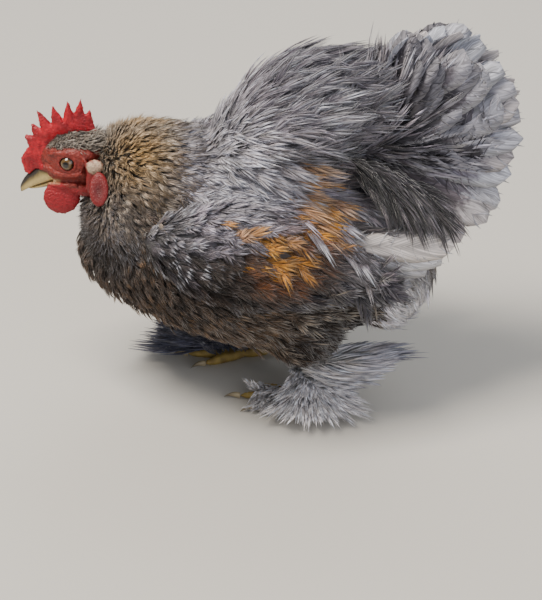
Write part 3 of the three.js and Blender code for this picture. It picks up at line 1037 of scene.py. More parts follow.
class Pattern(Enum):
    """The feather patterns that the coat is cut from."""

    BRISTLE = Vane("bristle", loose=1, leave=(0, 0.2), reach=0.8, slim=0.3, tip=1.4)
    HACKLE = Vane(
        "hackle", loose=2, leave=(0.1, 0.42), reach=0.5, slim=0.3, tip=1.5, streak=0.28
    )
    LANCE = Vane(
        "lance", loose=6, leave=(0.04, 0.66), reach=0.4, slim=0.16, base=0.4, belly=0.45, tip=1.5
    )
    CONTOUR = Vane("contour", loose=6, leave=(0.04, 0.64), reach=0.42, slim=0.16, tip=2.1)
    PLUME = Vane(
        "plume", rows=8, base=0.4, belly=0.5, tip=2.7, notch=0.05, full=0.82, loose=11,
        leave=(0.03, 0.9), reach=0.13, slim=0.055, stray=1.06,
    )
    QUILL = Vane(
        "quill", rows=12, across=2, base=0.28, belly=0.6, tip=2.2, notch=0.05, full=0.8, loose=14,
        leave=(0.08, 0.9), reach=0.14, slim=0.05, stray=1.06,
    )
    SILK = Vane(
        "silk", loose=10, base=0.5, belly=0.5, leave=(0, 0.66), reach=0.48, slim=0.095,
        streak=0.08, stray=1.0,
    )


@dataclass
class Feathers:
    """A set of feathers as rows: where each is rooted, how it lies, its size and its colours."""

    root: Array
    aim: Array
    face: Array
    size: Array  # length, width and shaft height, in metres
    bend: Array  # lift at the root, curl over the length and sideways sway, in radians
    plume: Array
    tip: Array
    mark: Array  # how strong the tip colour, the bars and the shaft streak are

    def picked(self, rows: Array) -> "Feathers":
        """The same set with only some rows."""
        return Feathers(*(getattr(self, key)[rows] for key in self.__dataclass_fields__))


def together(sets: list[Feathers]) -> Feathers:
    """Joins several sets of feathers into one."""
    keys = Feathers.__dataclass_fields__
    return Feathers(*(np.concatenate([getattr(s, key) for s in sets]) for key in keys))


class BakeSeats:
    """Gives each feather its own small square on an unwrap of the skin's shape."""

    PATCH = 0.003
    COLUMNS = 3
    ROWS = 2
    SEARCH = 30  # squares to each side in which a free one is looked for

    def __init__(self, low: Array, high: Array) -> None:
        """Keeps the skin's box, in metres, that the unwrap's six charts are measured in."""
        self.low, self.high = low, high

    def seats(self, root: Array, face: Array) -> Array:
        """Finds the square for each root on the chart that its skin faces.

        Args:
            root: Feather roots, in metres.
            face: The outward directions there.

        Returns:
            The lower left corner of each square, with a zero third number.
        """
        share = np.clip((root - self.low) / (self.high - self.low), 0, 1)
        side = np.abs(face).argmax(1)
        chart = side * 2 + (face[np.arange(len(face)), side] > 0)
        flat = np.array([[1, 2], [0, 2], [0, 1]])[side]
        inner = np.take_along_axis(share, flat, 1) * 0.96 + 0.02
        corner = np.stack([chart % self.COLUMNS, chart // self.COLUMNS], 1)
        cells = np.floor((corner + inner) / (self.COLUMNS, self.ROWS) / self.PATCH).astype(int)
        taken, made = set(), []
        most = int(1 / self.PATCH) - 1
        steps = range(-self.SEARCH, self.SEARCH + 1)
        ring = sorted(((i, j) for i in steps for j in steps), key=lambda c: c[0] ** 2 + c[1] ** 2)
        for cell in cells:
            for i, j in ring:
                spot = (min(max(cell[0] + i, 0), most), min(max(cell[1] + j, 0), most))
                if spot not in taken:
                    break
            taken.add(spot)
            made.append(spot)
        return np.append(np.array(made) * self.PATCH, np.zeros((len(made), 1)), axis=1)


class PlumageTree:
    """The node tree that grows one feather at each root point.

    The points carry root, aim, face, size, bend and seat. The tree sets a copy of one of three
    like vanes on each, makes the copies real, bends them along an arc, maps each onto its own
    square of the bake map and gives them their finish.
    """

    CAMBER = 0.1  # how far the edges droop, as a share of the width
    KINDS = 3  # like patterns that a tract's feathers are picked from
    CARRIED = ("root", "aim", "face", "size", "bend", "seat")
    CLEAR = 0.3 * MM  # height of the lowest barbs over the floor

    def __init__(self) -> None:
        """Builds the tree and keeps the identifiers of its inputs."""
        tree = bpy.data.node_groups.new("plumage", "GeometryNodeTree")
        face = tree.interface
        face.new_socket("Points", in_out="INPUT", socket_type="NodeSocketGeometry")
        face.new_socket("Feathers", in_out="OUTPUT", socket_type="NodeSocketGeometry")
        for name, kind in (
            *((f"Vane {i}", "Object") for i in range(self.KINDS)), ("Finish", "Material"),
            ("Patch", "Float"), ("Camber", "Float"), ("Ruffle", "Float"), ("Seed", "Int"),
        ):
            face.new_socket(name, in_out="INPUT", socket_type=f"NodeSocket{kind}")
        self.keys = {
            item.name: item.identifier for item in face.items_tree if item.in_out == "INPUT"
        }
        self.tree = tree
        self.grow()

    def grow(self) -> None:
        """Lays out the tree's nodes."""
        put = partial(add_node, self.tree)
        given = put("NodeGroupInput")
        held = {
            name: put("GeometryNodeInputNamedAttribute", [name], data_type="FLOAT_VECTOR")[0]
            for name in ("blade", *self.CARRIED)
        }
        kinds = put("GeometryNodeJoinGeometry")
        for i in range(self.KINDS):
            vane = {"Object": given[f"Vane {i}"], "As Instance": True}
            found = put("GeometryNodeObjectInfo", vane)["Geometry"]
            self.tree.links.new(found, kinds[0].node.inputs[0])
        span = {4: 0, 5: self.KINDS - 1, "Seed": given["Seed"]}
        dice = put("FunctionNodeRandomValue", span, data_type="INT")
        laid = {
            "Points": given["Points"], "Instance": kinds[0], "Pick Instance": True,
            "Instance Index": dice[2],
        }
        copies = put("GeometryNodeInstanceOnPoints", laid)
        real = put("GeometryNodeRealizeInstances", [copies[0]])
        u, v, high = put(SPLIT, [held["blade"]])
        long, wide, thick = put(SPLIT, [held["size"]])
        lift, curl, sway = put(SPLIT, [held["bend"]])
        side_way = put(CROSS, [held["face"], held["aim"]])[0]

        # Along the shaft, and sideways from it.
        turn = put(TIMES, [curl, u])[0]
        chord = put(TIMES_PLUS, [turn, 0.5, lift])[0]
        reach = put(TIMES, [long, u])[0]
        swing = put(TIMES, [sway, reach])[0]
        swing = put(TIMES, [swing, u])[0]
        over = put(TIMES, [v, wide])[0]
        side = put(TIMES_PLUS, [over, 0.5, swing])[0]

        # Out from the web: the shaft's ridge, less the drooping edges, and the ruffles.
        droop = put(TIMES, [over, v])[0]
        droop = put(TIMES, [droop, given["Camber"]])[0]
        noise = {"Vector": held["root"], "W": given["Seed"], "Scale": 60.0}
        wave = put("ShaderNodeTexNoise", noise, noise_dimensions="4D")[0]
        place_by = put(TIMES, [u, 7.0])[0]
        phase = put(TIMES_PLUS, [wave, 40.0, place_by])[0]
        wave = put(SINE, [phase])[0]
        wave = put(TIMES, [wave, over])[0]
        wave = put(TIMES, [wave, given["Ruffle"]])[0]
        out = put(TIMES_PLUS, [high, thick, wave])[0]
        out = put(LESS, [out, droop])[0]

        # The shaft bends outwards along an arc, and the web's own up turns with it.
        tangent = put(PLUS, [turn, lift])[0]
        along, upward = (
            put("ShaderNodeVectorRotate", {0: way, "Axis": side_way, "Angle": by}, invert=True)[0]
            for way, by in ((held["aim"], chord), (held["face"], tangent))
        )
        spot = held["root"]
        for way, length in ((along, reach), (side_way, side), (upward, out)):
            step = put(SCALED, {0: way, "Scale": length})[0]
            spot = put(MOVED, [spot, step])[0]
        shaped = put("GeometryNodeSetPosition", {"Geometry": real[0], "Position": spot})

        # Each feather's own square on the bake map.
        level = put(TIMES_PLUS, [v, 0.4, 0.5])[0]
        square = put("ShaderNodeCombineXYZ", [u, level])[0]
        square = put(SCALED, {0: square, "Scale": given["Patch"]})[0]
        mapped = put(MOVED, [held["seat"], square])[0]
        values = {"Geometry": shaped[0], "Name": "OFBake", "Value": mapped}
        kind = "GeometryNodeStoreNamedAttribute"
        stored = put(kind, values, data_type="FLOAT2", domain="CORNER")
        dress = {"Geometry": stored[0], "Material": given["Finish"]}
        put("NodeGroupOutput", [put("GeometryNodeSetMaterial", dress)[0]])

    def grown(
        self, name: str, feathers: Feathers, seats: Array, pattern: Pattern,
        finish: Material, ruffle: float = 0.0,
    ) -> Object:
        """Grows a set of feathers as one plain mesh.

        Args:
            name: The new piece's name.
            feathers: The set.
            seats: Each feather's square on the bake map.
            pattern: The pattern they are cut from.
            finish: Their material.
            ruffle: How much the web waves, as a share of its width.

        Returns:
            The piece.
        """
        vanes = [pattern.value.build(seed) for seed in range(self.KINDS)]
        piece = mesh_object(name, feathers.root, [])
        for key in ("root", "aim", "face", "size", "bend", "mark"):
            store(piece.data, key, "FLOAT_VECTOR", getattr(feathers, key))
        store(piece.data, "seat", "FLOAT_VECTOR", seats)
        for key in ("plume", "tip"):
            store(piece.data, key, "FLOAT_COLOR", getattr(feathers, key))
        modifier = piece.modifiers.new("plumage", "NODES")
        modifier.node_group = self.tree
        values = {f"Vane {i}": vane for i, vane in enumerate(vanes)}
        values |= {"Finish": finish, "Patch": BakeSeats.PATCH * 0.94, "Camber": self.CAMBER}
        values |= {"Ruffle": ruffle, "Seed": SEED}
        for label, value in values.items():
            modifier[self.keys[label]] = value
        settled(piece)
        mesh = piece.data
        mesh.materials.pop(index=0)  # the empty slot that the bare points bring along
        for key in ("blade", *self.CARRIED):
            mesh.attributes.remove(mesh.attributes[key])
        points = coords(mesh)
        points[:, 2] = np.maximum(points[:, 2], self.CLEAR)
        moulded(mesh, points)
        for vane in vanes:
            bpy.data.objects.remove(vane)
        return piece


# ---- The coat


@dataclass
class Roots:
    """Places on the skin where feathers start."""

    point: Array  # metres
    normal: Array
    names: Array  # the CAD node that each is under

    @property
    def spot(self) -> Array:
        """The places in mm from the trunk's middle."""
        return measure(self.point)


class SkinField:
    """The skin's surface, for rooting feathers in it at even distances."""

    CROWD = 7  # trial roots for each one that is kept, about

    def __init__(self, skin: Object, names: Array) -> None:
        """Keeps the skin's triangles with their sizes, directions and regions.

        Args:
            skin: The finished skin.
            names: The CAD node that each of its points is under.
        """
        mesh = skin.data
        mesh.calc_loop_triangles()
        corners = np.empty(len(mesh.loop_triangles) * 3, np.int32)
        mesh.loop_triangles.foreach_get("vertices", corners)
        self.corners = corners.reshape(-1, 3)
        self.points, self.normals = coords(mesh), normals(mesh)
        self.names = names[self.corners[:, 0]]
        a, b, c = (self.points[self.corners[:, i]] for i in range(3))
        self.area = np.linalg.norm(np.cross(b - a, c - a), axis=1) / 2
        self.centre = (a + b + c) / 3

    def scatter(self, keep: Array, spacing: Array, seed: int) -> Roots:
        """Roots feathers at random places that keep a distance from each other.

        Args:
            keep: Which triangles take part.
            spacing: The distance wanted on each triangle, in mm.
            seed: Picks one scatter.

        Returns:
            The roots.
        """
        rng = np.random.default_rng(seed)
        gap = spacing * MM
        weight = np.where(keep, self.area / gap**2, 0)
        total = int(weight.sum() * self.CROWD)
        picked = rng.choice(len(weight), total, p=weight / weight.sum())
        u, v = rng.random((2, total, 1))
        flip = u + v > 1
        u, v = np.where(flip, 1 - u, u), np.where(flip, 1 - v, v)
        a, b, c = (self.corners[picked, i] for i in range(3))
        point, normal = (
            rows[a] * (1 - u - v) + rows[b] * u + rows[c] * v
            for rows in (self.points, self.normals)
        )
        near = near_tree(point)
        free, kept = np.ones(total, bool), []
        for i in range(total):
            if free[i]:
                kept.append(i)
                free[[j for _, j, _ in near.find_range(point[i], gap[picked[i]])]] = False
        return Roots(point[kept], unit(normal[kept]), self.names[picked[kept]])


def face_out(aim: Array, normal: Array) -> Array:
    """The part of each normal that is square to the aim."""
    return unit(normal - aim * (normal * aim).sum(1, keepdims=True))


@dataclass
class Coat:
    """The plumage: every tract's feathers, laid from the skin out to the CAD's outer form."""

    skin: Object
    names: Array
    envelope: Outline
    finish: dict[str, Material]
    beak_root: tuple = (128, 0, 165)  # neck and breast feathers point away from here
    jitter: float = 0.13  # radians that a feather strays from the lie of its tract
    clump: float = 13.0  # mm between the middles of clumps that lean one way

    def __post_init__(self) -> None:
        """Prepares the fields that all tracts share."""
        self.field = SkinField(self.skin, self.names)
        self.centre = measure(self.field.centre)
        points = self.field.points
        self.seats = BakeSeats(points.min(0), points.max(0))
        self.tree = PlumageTree()
        self.rng = np.random.default_rng(SEED)

    def flow(self, roots: Roots, way: Array, stray: float = 1.0) -> Array:
        """Turns wanted directions into directions along the skin, each a little astray.

        Args:
            roots: The feathers' roots.
            way: The wanted directions.
            stray: How far they stray, times the usual amount.

        Returns:
            Unit directions along the skin.
        """
        aim = unit(way)
        aim = aim - roots.normal * (aim * roots.normal).sum(1, keepdims=True)
        aim = unit(aim + 1e-6)
        lean = waves(roots.spot, self.clump, 71) - waves(roots.spot, self.clump * 0.6, 72)
        turn = (self.rng.normal(0, self.jitter * stray, len(aim)) + 0.35 * stray * lean)[:, None]
        return unit(aim * np.cos(turn) + np.cross(roots.normal, aim) * np.sin(turn))

    def fitted(self, roots: Roots, aim: Array, long: Array, proud: Array) -> Array:
        """Finds the lift and curl that bring each feather out to the CAD's outer form.

        Args:
            roots: The feathers' roots.
            aim: Their directions.
            long: Their lengths, in mm.
            proud: How far each tip stands out from the outer form, in mm.

        Returns:
            Lift, curl and sideways sway, in radians.
        """
        heights = []
        for share, sink in ((0.5, 3.0), (1.0, 0.0)):
            reached = roots.point + aim * (long * share * MM)[:, None]
            place_on, out, _ = self.envelope.nearest(reached)
            wanted = place_on + out * ((proud * share - sink) * MM)[:, None]
            heights.append(((wanted - roots.point) * roots.normal).sum(1) / MM)
        half = np.arcsin(np.clip(heights[0] / (0.5 * long), -0.75, 0.75))
        whole = np.arcsin(np.clip(heights[1] / long, -0.8, 0.8))
        curl = np.clip((whole - half) * 4, -1.5, 1.5)
        sway = self.rng.normal(0, 0.09, len(long))
        return columns(whole - curl / 2, curl, sway)

    def laid(
        self, roots: Roots, aim: Array, size: tuple[Array, Array, float],
        proud: Array | float = 0.0, shade: float = 0.12,
    ) -> Feathers:
        """Lays feathers on the skin in the ground colours of their place.

        Args:
            roots: The feathers' roots.
            aim: Their directions.
            size: Lengths, widths and the height of the shaft, in mm.
            proud: How far the tips stand out from the outer form, in mm.
            shade: How much lighter or darker single feathers are.

        Returns:
            The feathers, with no marks yet.
        """
        long, wide, thick = size
        count = len(long)
        lean = waves(roots.spot, self.clump * 0.8, 73) - 0.5
        bend = self.fitted(roots, aim, long, np.asarray(proud, float) + 1.6 * lean)
        plume = MARKINGS_AND_LIGHT.ground(roots.spot + aim * (0.7 * long)[:, None], roots.names)
        tone = np.exp(np.clip(self.rng.normal(0, shade * 1.6, (count, 1)), -0.5, 0.32))
        plume = plume * np.append(np.repeat(tone, 3, 1), np.ones((count, 1)), 1)
        sizes = columns(long, wide, thick) * MM
        face = face_out(aim, roots.normal)
        mark = np.zeros((count, 3))
        return Feathers(roots.point, aim, face, sizes, bend, plume, plume.copy(), mark)

    def piece(
        self, name: str, feathers: Feathers, pattern: Pattern, finish: str, slot: str,
        nodes: tuple[str, ...] = (), ruffle: float = 0.0,
    ) -> None:
        """Args:
            name: The piece's name.
            feathers: The set.
            pattern: The pattern they are cut from.
            finish: The name of their finish.
            slot: A name for the kind of piece; the tail's keeps gold off its feathers.
            nodes: CAD nodes that the piece stands for.
            ruffle: How much the webs wave.
        """
        count = len(feathers.root)
        shown = measure(feathers.root) + 0.7 * feathers.size[:, :1] / MM * feathers.aim
        gilt = self.rng.random(count) < MARKINGS_AND_LIGHT.golden(shown)
        gilt = gilt * self.rng.uniform(0.3, 1.0, count) * (slot != "tail_feathers")
        feathers.plume = blend(feathers.plume, INK.gold, gilt)
        feathers.tip = blend(feathers.tip, INK.gilt, gilt)
        seats = self.seats.seats(feathers.root, feathers.face)
        made = self.tree.grown(name, feathers, seats, pattern, self.finish[finish], ruffle)
        declare(made, slot, *nodes)
        faces = sum(len(p.vertices) - 2 for p in made.data.polygons)
        log.info("%s: %d feathers, %d triangles", name, count, faces)

    def sown(self, keep: Array, gap: Array | float, seed: int) -> tuple[Roots, Array, int]:
        """Roots a tract's feathers.

        Args:
            keep: Which of the skin's triangles take part.
            gap: The distance between feathers on each triangle, in mm.
            seed: Picks one scatter.

        Returns:
            The roots, their places in mm as columns, and how many there are.
        """
        spacing = np.broadcast_to(np.asarray(gap, float), keep.shape)
        roots = self.field.scatter(keep, spacing, seed)
        return roots, roots.spot.T, len(roots.point)

    def on(self, tract: Tract) -> Array:
        """Which of the skin's triangles lie under a tract's CAD nodes."""
        return np.isin(self.field.names, tract.value)

    def crown(self) -> None:
        """Fine short bristles behind the comb and the ears, and on the chin."""
        keep = self.on(Tract.CROWN) & (SHAPE.bare(self.centre) < 0.5) & (self.centre[:, 0] > 80)
        roots, (x, _, z), count = self.sown(keep, 0.72, 51)
        rng = self.rng
        aim = self.flow(roots, roots.spot - np.array([140, 0, 163]), 2.2)
        long = (3.2 + 9.4 * rise(114, 92, x)) * rng.uniform(0.7, 1.25, count)
        wide = rng.uniform(0.6, 1.15, count)
        proud = 0.3 + rng.exponential(0.6, count) + 6.0 * rise(108, 92, x) * rise(146, 156, z)
        feathers = self.laid(roots, aim, (long, wide, 0.12), proud, 0.25)
        feathers.bend[:, 0] += 0.35
        feathers.tip = blend(feathers.plume, INK.straw, rng.random(count))
        feathers.mark[:, 0] = rng.random(count)
        self.piece("crown_bristles", feathers, Pattern.BRISTLE, "bristle", "hackle_feathers")

    def hackle(self) -> None:
        """The neck's cape of narrow pointed feathers, above and below."""
        x, _, z = self.centre.T
        gap = 0.98 + 0.72 * rise(101, 54, x)
        keep, rng = self.on(Tract.HACKLE), self.rng
        for name, part, seed in (("nape", z > 134, 52), ("throat", z <= 134, 59)):
            roots, (x, _, z), count = self.sown(keep & part, gap, seed)
            aim = self.flow(roots, roots.spot - np.array(self.beak_root), 1.6)
            spread = rise(101, 52, x)
            skirt = blob(roots.spot, (74, 48, 128), 17)
            long = (7 + 14 * spread + 7 * skirt) * rng.uniform(0.8, 1.2, count)
            wide = (1.7 + 1.5 * spread) * rng.uniform(0.8, 1.25, count)
            ruff = np.exp(-(((x - 50) / 18) ** 2)) * rise(144, 158, z)
            lobe = blob(roots.spot, (95, 22, 141), 16)
            poll = np.exp(-(((x - 88) / 10) ** 2)) * rise(148, 158, z)
            proud = rng.exponential(0.9, count) - 0.5 + 5.5 * ruff - 2.2 * lobe
            proud += 3.8 * poll + 2.2 * skirt
            feathers = self.laid(roots, aim, (long, wide, 0.2), proud, 0.26)
            brass = blob(roots.spot, (68, 22, 160), 22)
            pale = blend(INK.straw, INK.cloud, rise(150, 128, z))
            tip = blend(feathers.plume, pale, 0.1 + 0.65 * rng.random(count))
            feathers.tip = blend(tip, INK.brass, np.clip(1.4 * brass, 0, 0.7))
            skirt = rise(104, 112, z) * rise(134, 122, z) * rng.random(count)
            feathers.tip = blend(feathers.tip, INK.cloud, 0.9 * skirt)
            feathers.mark[:, 0] = np.clip(rng.random(count) ** 1.4 + skirt, 0, 1)
            feathers.mark[:, 2] = 0.5
            self.piece(f"hackle_{name}", feathers, Pattern.HACKLE, "hackle", "hackle_feathers")

    def trunk_share(self) -> Array:
        """How much each of the skin's triangles belongs to the back, from 0 to 1."""
        x, _, z = self.centre.T
        return rise(114, 128, z + 0.2 * (20 - x))

    def breast(self) -> None:
        """The breast, the flanks and the belly."""
        keep = self.on(Tract.BREAST) & (self.trunk_share() < 0.5)
        gap, rng = 3.0 + 0.7 * rise(60, 46, self.centre[:, 2]), self.rng
        for side, sign in SIDES.items():
            roots, (x, _, _), count = self.sown(keep & (self.centre[:, 1] * sign >= 0), gap, 53)
            away = unit(roots.spot - np.array(self.beak_root))
            back_way = unit(np.array([[-1, 0, -0.28]]))
            aim = self.flow(roots, away + back_way * rise(60, -20, x)[:, None] * 1.6, 1.5)
            long = (14 + 11 * rise(80, 10, x)) * rng.uniform(0.8, 1.2, count)
            wide = (5.0 + 3.0 * rise(80, 10, x)) * rng.uniform(0.8, 1.2, count)
            proud = rng.exponential(0.9, count) - 0.6
            feathers = self.laid(roots, aim, (long, wide, 0.3), proud, 0.17)
            streak = rng.random(count) ** 1.3 * rise(-10, 30, x)
            tip = blend(feathers.plume, INK.toffee, 0.6 * streak)
            pale = (rng.random(count) < 0.25) * rise(60, -10, x) * 0.5
            feathers.tip = blend(tip, INK.straw, pale)
            feathers.mark += (0.85, 0.0, 0.4)
            name = f"breast_feathers_{side}"
            self.piece(name, feathers, Pattern.CONTOUR, "contour", "breast_feathers")

    def back(self) -> None:
        """The back and the saddle: long soft feathers that sweep up onto the tail."""
        upper = self.on(Tract.BREAST) & (self.trunk_share() >= 0.5)
        keep = self.on(Tract.BACK) | upper
        x, y, z = self.centre.T
        for name, part, seed in (
            ("mantle", x > -2, 54),
            ("saddle_left", (x <= -2) & (y > 0), 60),
            ("saddle_right", (x <= -2) & (y <= 0), 65),
        ):
            self.swept(f"{name}_feathers", self.sown(keep & part, 2.8, seed)[0], seed)
        ridge = self.on(Tract.BACK) & (z > 174) & (x > -47)
        roots, (x, _, _), count = self.sown(ridge, 3.6, 64)
        proud = np.minimum(self.rng.exponential(1.8, count), 6) + 0.6 + 8 * rise(-24, -50, x)
        self.swept("saddle_plumes", roots, 64, 1.3 + 0.3 * rise(-30, -55, x), proud)

    def swept(
        self, name: str, roots: Roots, seed: int, scale: Array | float = 1.0,
        proud: Array | None = None,
    ) -> None:
        """Lays long soft feathers that sweep backwards, and upwards near the tail.

        Args:
            name: The piece's name.
            roots: Their roots.
            seed: Picks the pattern of pale clumps.
            scale: Their length, times the usual one.
            proud: How far the tips stand out, in mm.
        """
        (x, y, z), rng = roots.spot.T, self.rng
        count = len(x)
        high = rise(150, 186, z)
        side = 0.3 * np.sign(y) * (1 - high)
        aim = self.flow(roots, columns(-1, side, 0.95 * high - 0.35), 1.3)
        long = (22 + 14 * rise(50, -10, x)) * rng.uniform(0.78, 1.2, count) * scale
        wide = (6.2 + 2.6 * rise(50, 0, x)) * rng.uniform(0.75, 1.25, count) / scale
        if proud is None:
            ruff = np.exp(-(((x - 44) / 14) ** 2)) * rise(140, 156, z)
            proud = rng.exponential(1.3, count) - 0.9 + 4 * ruff
        feathers = self.laid(roots, aim, (long, wide, 0.26), proud, 0.2)
        light = np.clip(rng.random(count) * 0.7 + 0.5 * waves(roots.spot, 11, seed), 0, 1)
        feathers.tip = blend(feathers.plume, INK.pearl, 0.9 * light**1.5)
        shown = roots.spot + aim * (0.7 * long)[:, None]
        dark = sum(blob(shown, s[:3], s[3] + 3) for s in MARKINGS_AND_LIGHT.DARK_SPOTS)
        dark = np.clip(dark + 0.6 * rise(186, 200, z), 0, 1)
        feathers.tip = blend(feathers.tip, feathers.plume, 0.75 * dark)
        feathers.mark[:, 0] = rng.uniform(0.3, 1.0, count)
        feathers.mark[:, 2] = 0.6
        self.piece(name, feathers, Pattern.SILK, "saddle", "saddle_feathers")

    def wings(self) -> None:
        """The wing coverts: soft-edged, in rows, gold and rust among slate and brown."""
        gap, rng = 3.3 + 1.0 * rise(60, -30, self.centre[:, 0]), self.rng
        for side in SIDES:
            roots, (x, _, z), count = self.sown(self.field.names == f"wing_{side}", gap, 55)
            drop = -0.3 - 0.2 * rise(120, 100, z)
            aim = self.flow(roots, columns(-1, 0, drop), 1.5)
            spread, knob = rise(60, -30, x), rise(36, 46, x)
            long = (15 + 13 * spread + 2 * knob) * rng.uniform(0.75, 1.2, count)
            wide = (7.6 + 2.4 * spread + 0.6 * knob) * rng.uniform(0.7, 1.25, count)
            proud = np.minimum(rng.exponential(1.2, count), 3) - 0.6
            feathers = self.laid(roots, aim, (long, wide, 0.35), proud, 0.22)
            rimmed = rise(104, 92, z + 0.1 * x) + rise(34, 46, x) * (z > 112)
            rim = 0.3 * rng.random(count) ** 2 + 0.55 * np.clip(rimmed, 0, 1)
            rim = np.clip(rim * rng.uniform(0.2, 1.0, count), 0, 1)
            feathers.tip = blend(feathers.plume, INK.pearl, rim)
            feathers.mark[:, 0] = rng.uniform(0.5, 1.0, count)
            feathers.mark[:, 2] = 0.4
            feathers.bend = np.clip(feathers.bend, (-0.5, -0.7, -9), (0.3, 0.1, 9))
            feathers = feathers.picked(roots.normal[:, 2] > -0.75)  # none on the underside
            name = f"wing_coverts_{side}"
            self.piece(name, feathers, Pattern.SILK, "covert", "wing_feathers")

    def fluff(self) -> None:
        """The loose downy feathers under the tail, and on thighs, shanks and toes."""
        rng = self.rng
        for name, tract, gap, seed, way, reach, slim, loose in (
            ("fluff", Tract.FLUFF, 2.55, 56, (-0.8, 0.1, -0.75), (21, 0.7), 1 / 2.6, 0.8),
            ("thigh", Tract.THIGH, 2.9, 57, (-1.0, 0.1, -0.7), (14, 0.8), 0.4, 0.8),
            ("shank", Tract.SHANK, 1.9, 58, (-0.25, 0.35, -1.0), (9.5, 0.7), 0.36, 1.0),
        ):
            roots, (x, y, z), count = self.sown(self.on(tract), gap, seed)
            outer = np.sign(y) * np.where((name == "shank") & (np.abs(y) <= 24), -1, 1)
            aim = columns(way[0], way[1] * outer, way[2])
            long = reach[0] * rng.uniform(reach[1], 1.2, count)
            self.downy(f"{name}_feathers", roots, aim, long, long * slim, loose)
        for side, sign in SIDES.items():
            x, y, z = self.centre.T
            heel_x, heel_y = HEELS[side]
            outer = (y - heel_y) * sign + 0.25 * (x - heel_x)
            keep = (self.field.names == f"foot_{side}") & (z > 2.4) & (outer > -1.5)
            roots, (x, y, z), count = self.sown(keep & (x < heel_x + 28), 1.7, 67)
            way = np.tile((0.5, 1.2 * sign, 0.1), (count, 1))
            long = 12 * rng.uniform(0.7, 1.2, count)
            roots.names = np.full(count, f"foot_feathers_{side}")
            self.downy(f"toe_feathers_{side}", roots, way, long, 0.4 * long, 1.0)

    def downy(
        self, name: str, roots: Roots, way: Array, long: Array, wide: Array, loose: float
    ) -> None:
        """Lays loose downy feathers, some with white ends.

        Args:
            name: The piece's name.
            roots: Their roots.
            way: The way they point.
            long: Their lengths, in mm.
            wide: Their widths.
            loose: How far their tips stray from the outer form, in mm.
        """
        count = len(long)
        proud = self.rng.exponential(loose, count) - loose / 2
        feathers = self.laid(roots, self.flow(roots, way, 1.0), (long, wide, 0.26), proud, 0.1)
        white = 0.4 + 0.5 * self.rng.random(count)
        white = white * (0.0 if name.startswith("thigh") else 0.85)
        feathers.tip = blend(feathers.plume, INK.white, white)
        feathers.mark[:, 0] = 0.9
        feathers.bend = np.clip(feathers.bend, (-0.6, -0.5, -0.4), (0.5, 0.5, 0.4))
        self.piece(name, feathers, Pattern.SILK, "down", "fluff_feathers")


# ---- Fans of large feathers


def quill_axes(rise_by: Array, out: Array, tilt: Array) -> tuple[Array, Array]:
    """The way a large feather points and the way its upper side faces.

    Args:
        rise_by: Degrees that it points above level.
        out: Degrees from straight back towards the bird's left.
        tilt: Degrees that it is turned about its shaft.

    Returns:
        Unit vectors along the shaft and out of the upper side.
    """
    up, away, lean = (np.radians(np.asarray(a, float)) for a in (rise_by, out, tilt))
    ahead, aside = -np.cos(away), np.sin(away)
    aim = columns(np.cos(up) * ahead, np.cos(up) * aside, np.sin(up))
    level = columns(-aside, ahead, 0)
    over = np.cross(aim, level)
    return aim, unit(over * np.cos(lean)[:, None] - level * np.sin(lean)[:, None])


@dataclass
class Fan:
    """Rows of large feathers that spread from one place, such as a tail."""

    root: Array  # mm
    aim: Array
    face: Array
    long: Array
    wide: Array
    thick: float
    bend: Array  # degrees that each tip curls away from its upper side

    @classmethod
    def spread(
        cls, root: Array, ways: tuple, long: Array, wide: Array, thick: float, bend: Array
    ) -> "Fan":
        """A fan whose feathers point by degrees: above level, out to the left, and tilted."""
        return cls(root, *quill_axes(*ways), long, wide, thick, bend)

    def feathers(self, rng: Rng, node: str, shade: float) -> Feathers:
        """The rows as feathers in the ground colours of their place.

        Args:
            rng: The source of small differences.
            node: The CAD node that they stand in for.
            shade: How much lighter or darker single feathers are.

        Returns:
            The feathers.
        """
        count = len(self.long)
        shown = self.root + self.aim * (0.8 * self.long)[:, None]
        plume = MARKINGS_AND_LIGHT.ground(shown, np.full(count, node))
        plume[:, :3] *= np.exp(rng.normal(0, shade * 1.6, (count, 1)))
        size = columns(self.long, self.wide, self.thick) * MM
        curl = -np.radians(self.bend)
        bend = columns(0, curl, rng.normal(0, 0.03, count))
        root = place(0, 0, 0) + self.root * MM
        face = face_out(self.aim, self.face)
        return Feathers(
            root, self.aim, face, size, bend, plume, plume.copy(), np.zeros((count, 3))
        )


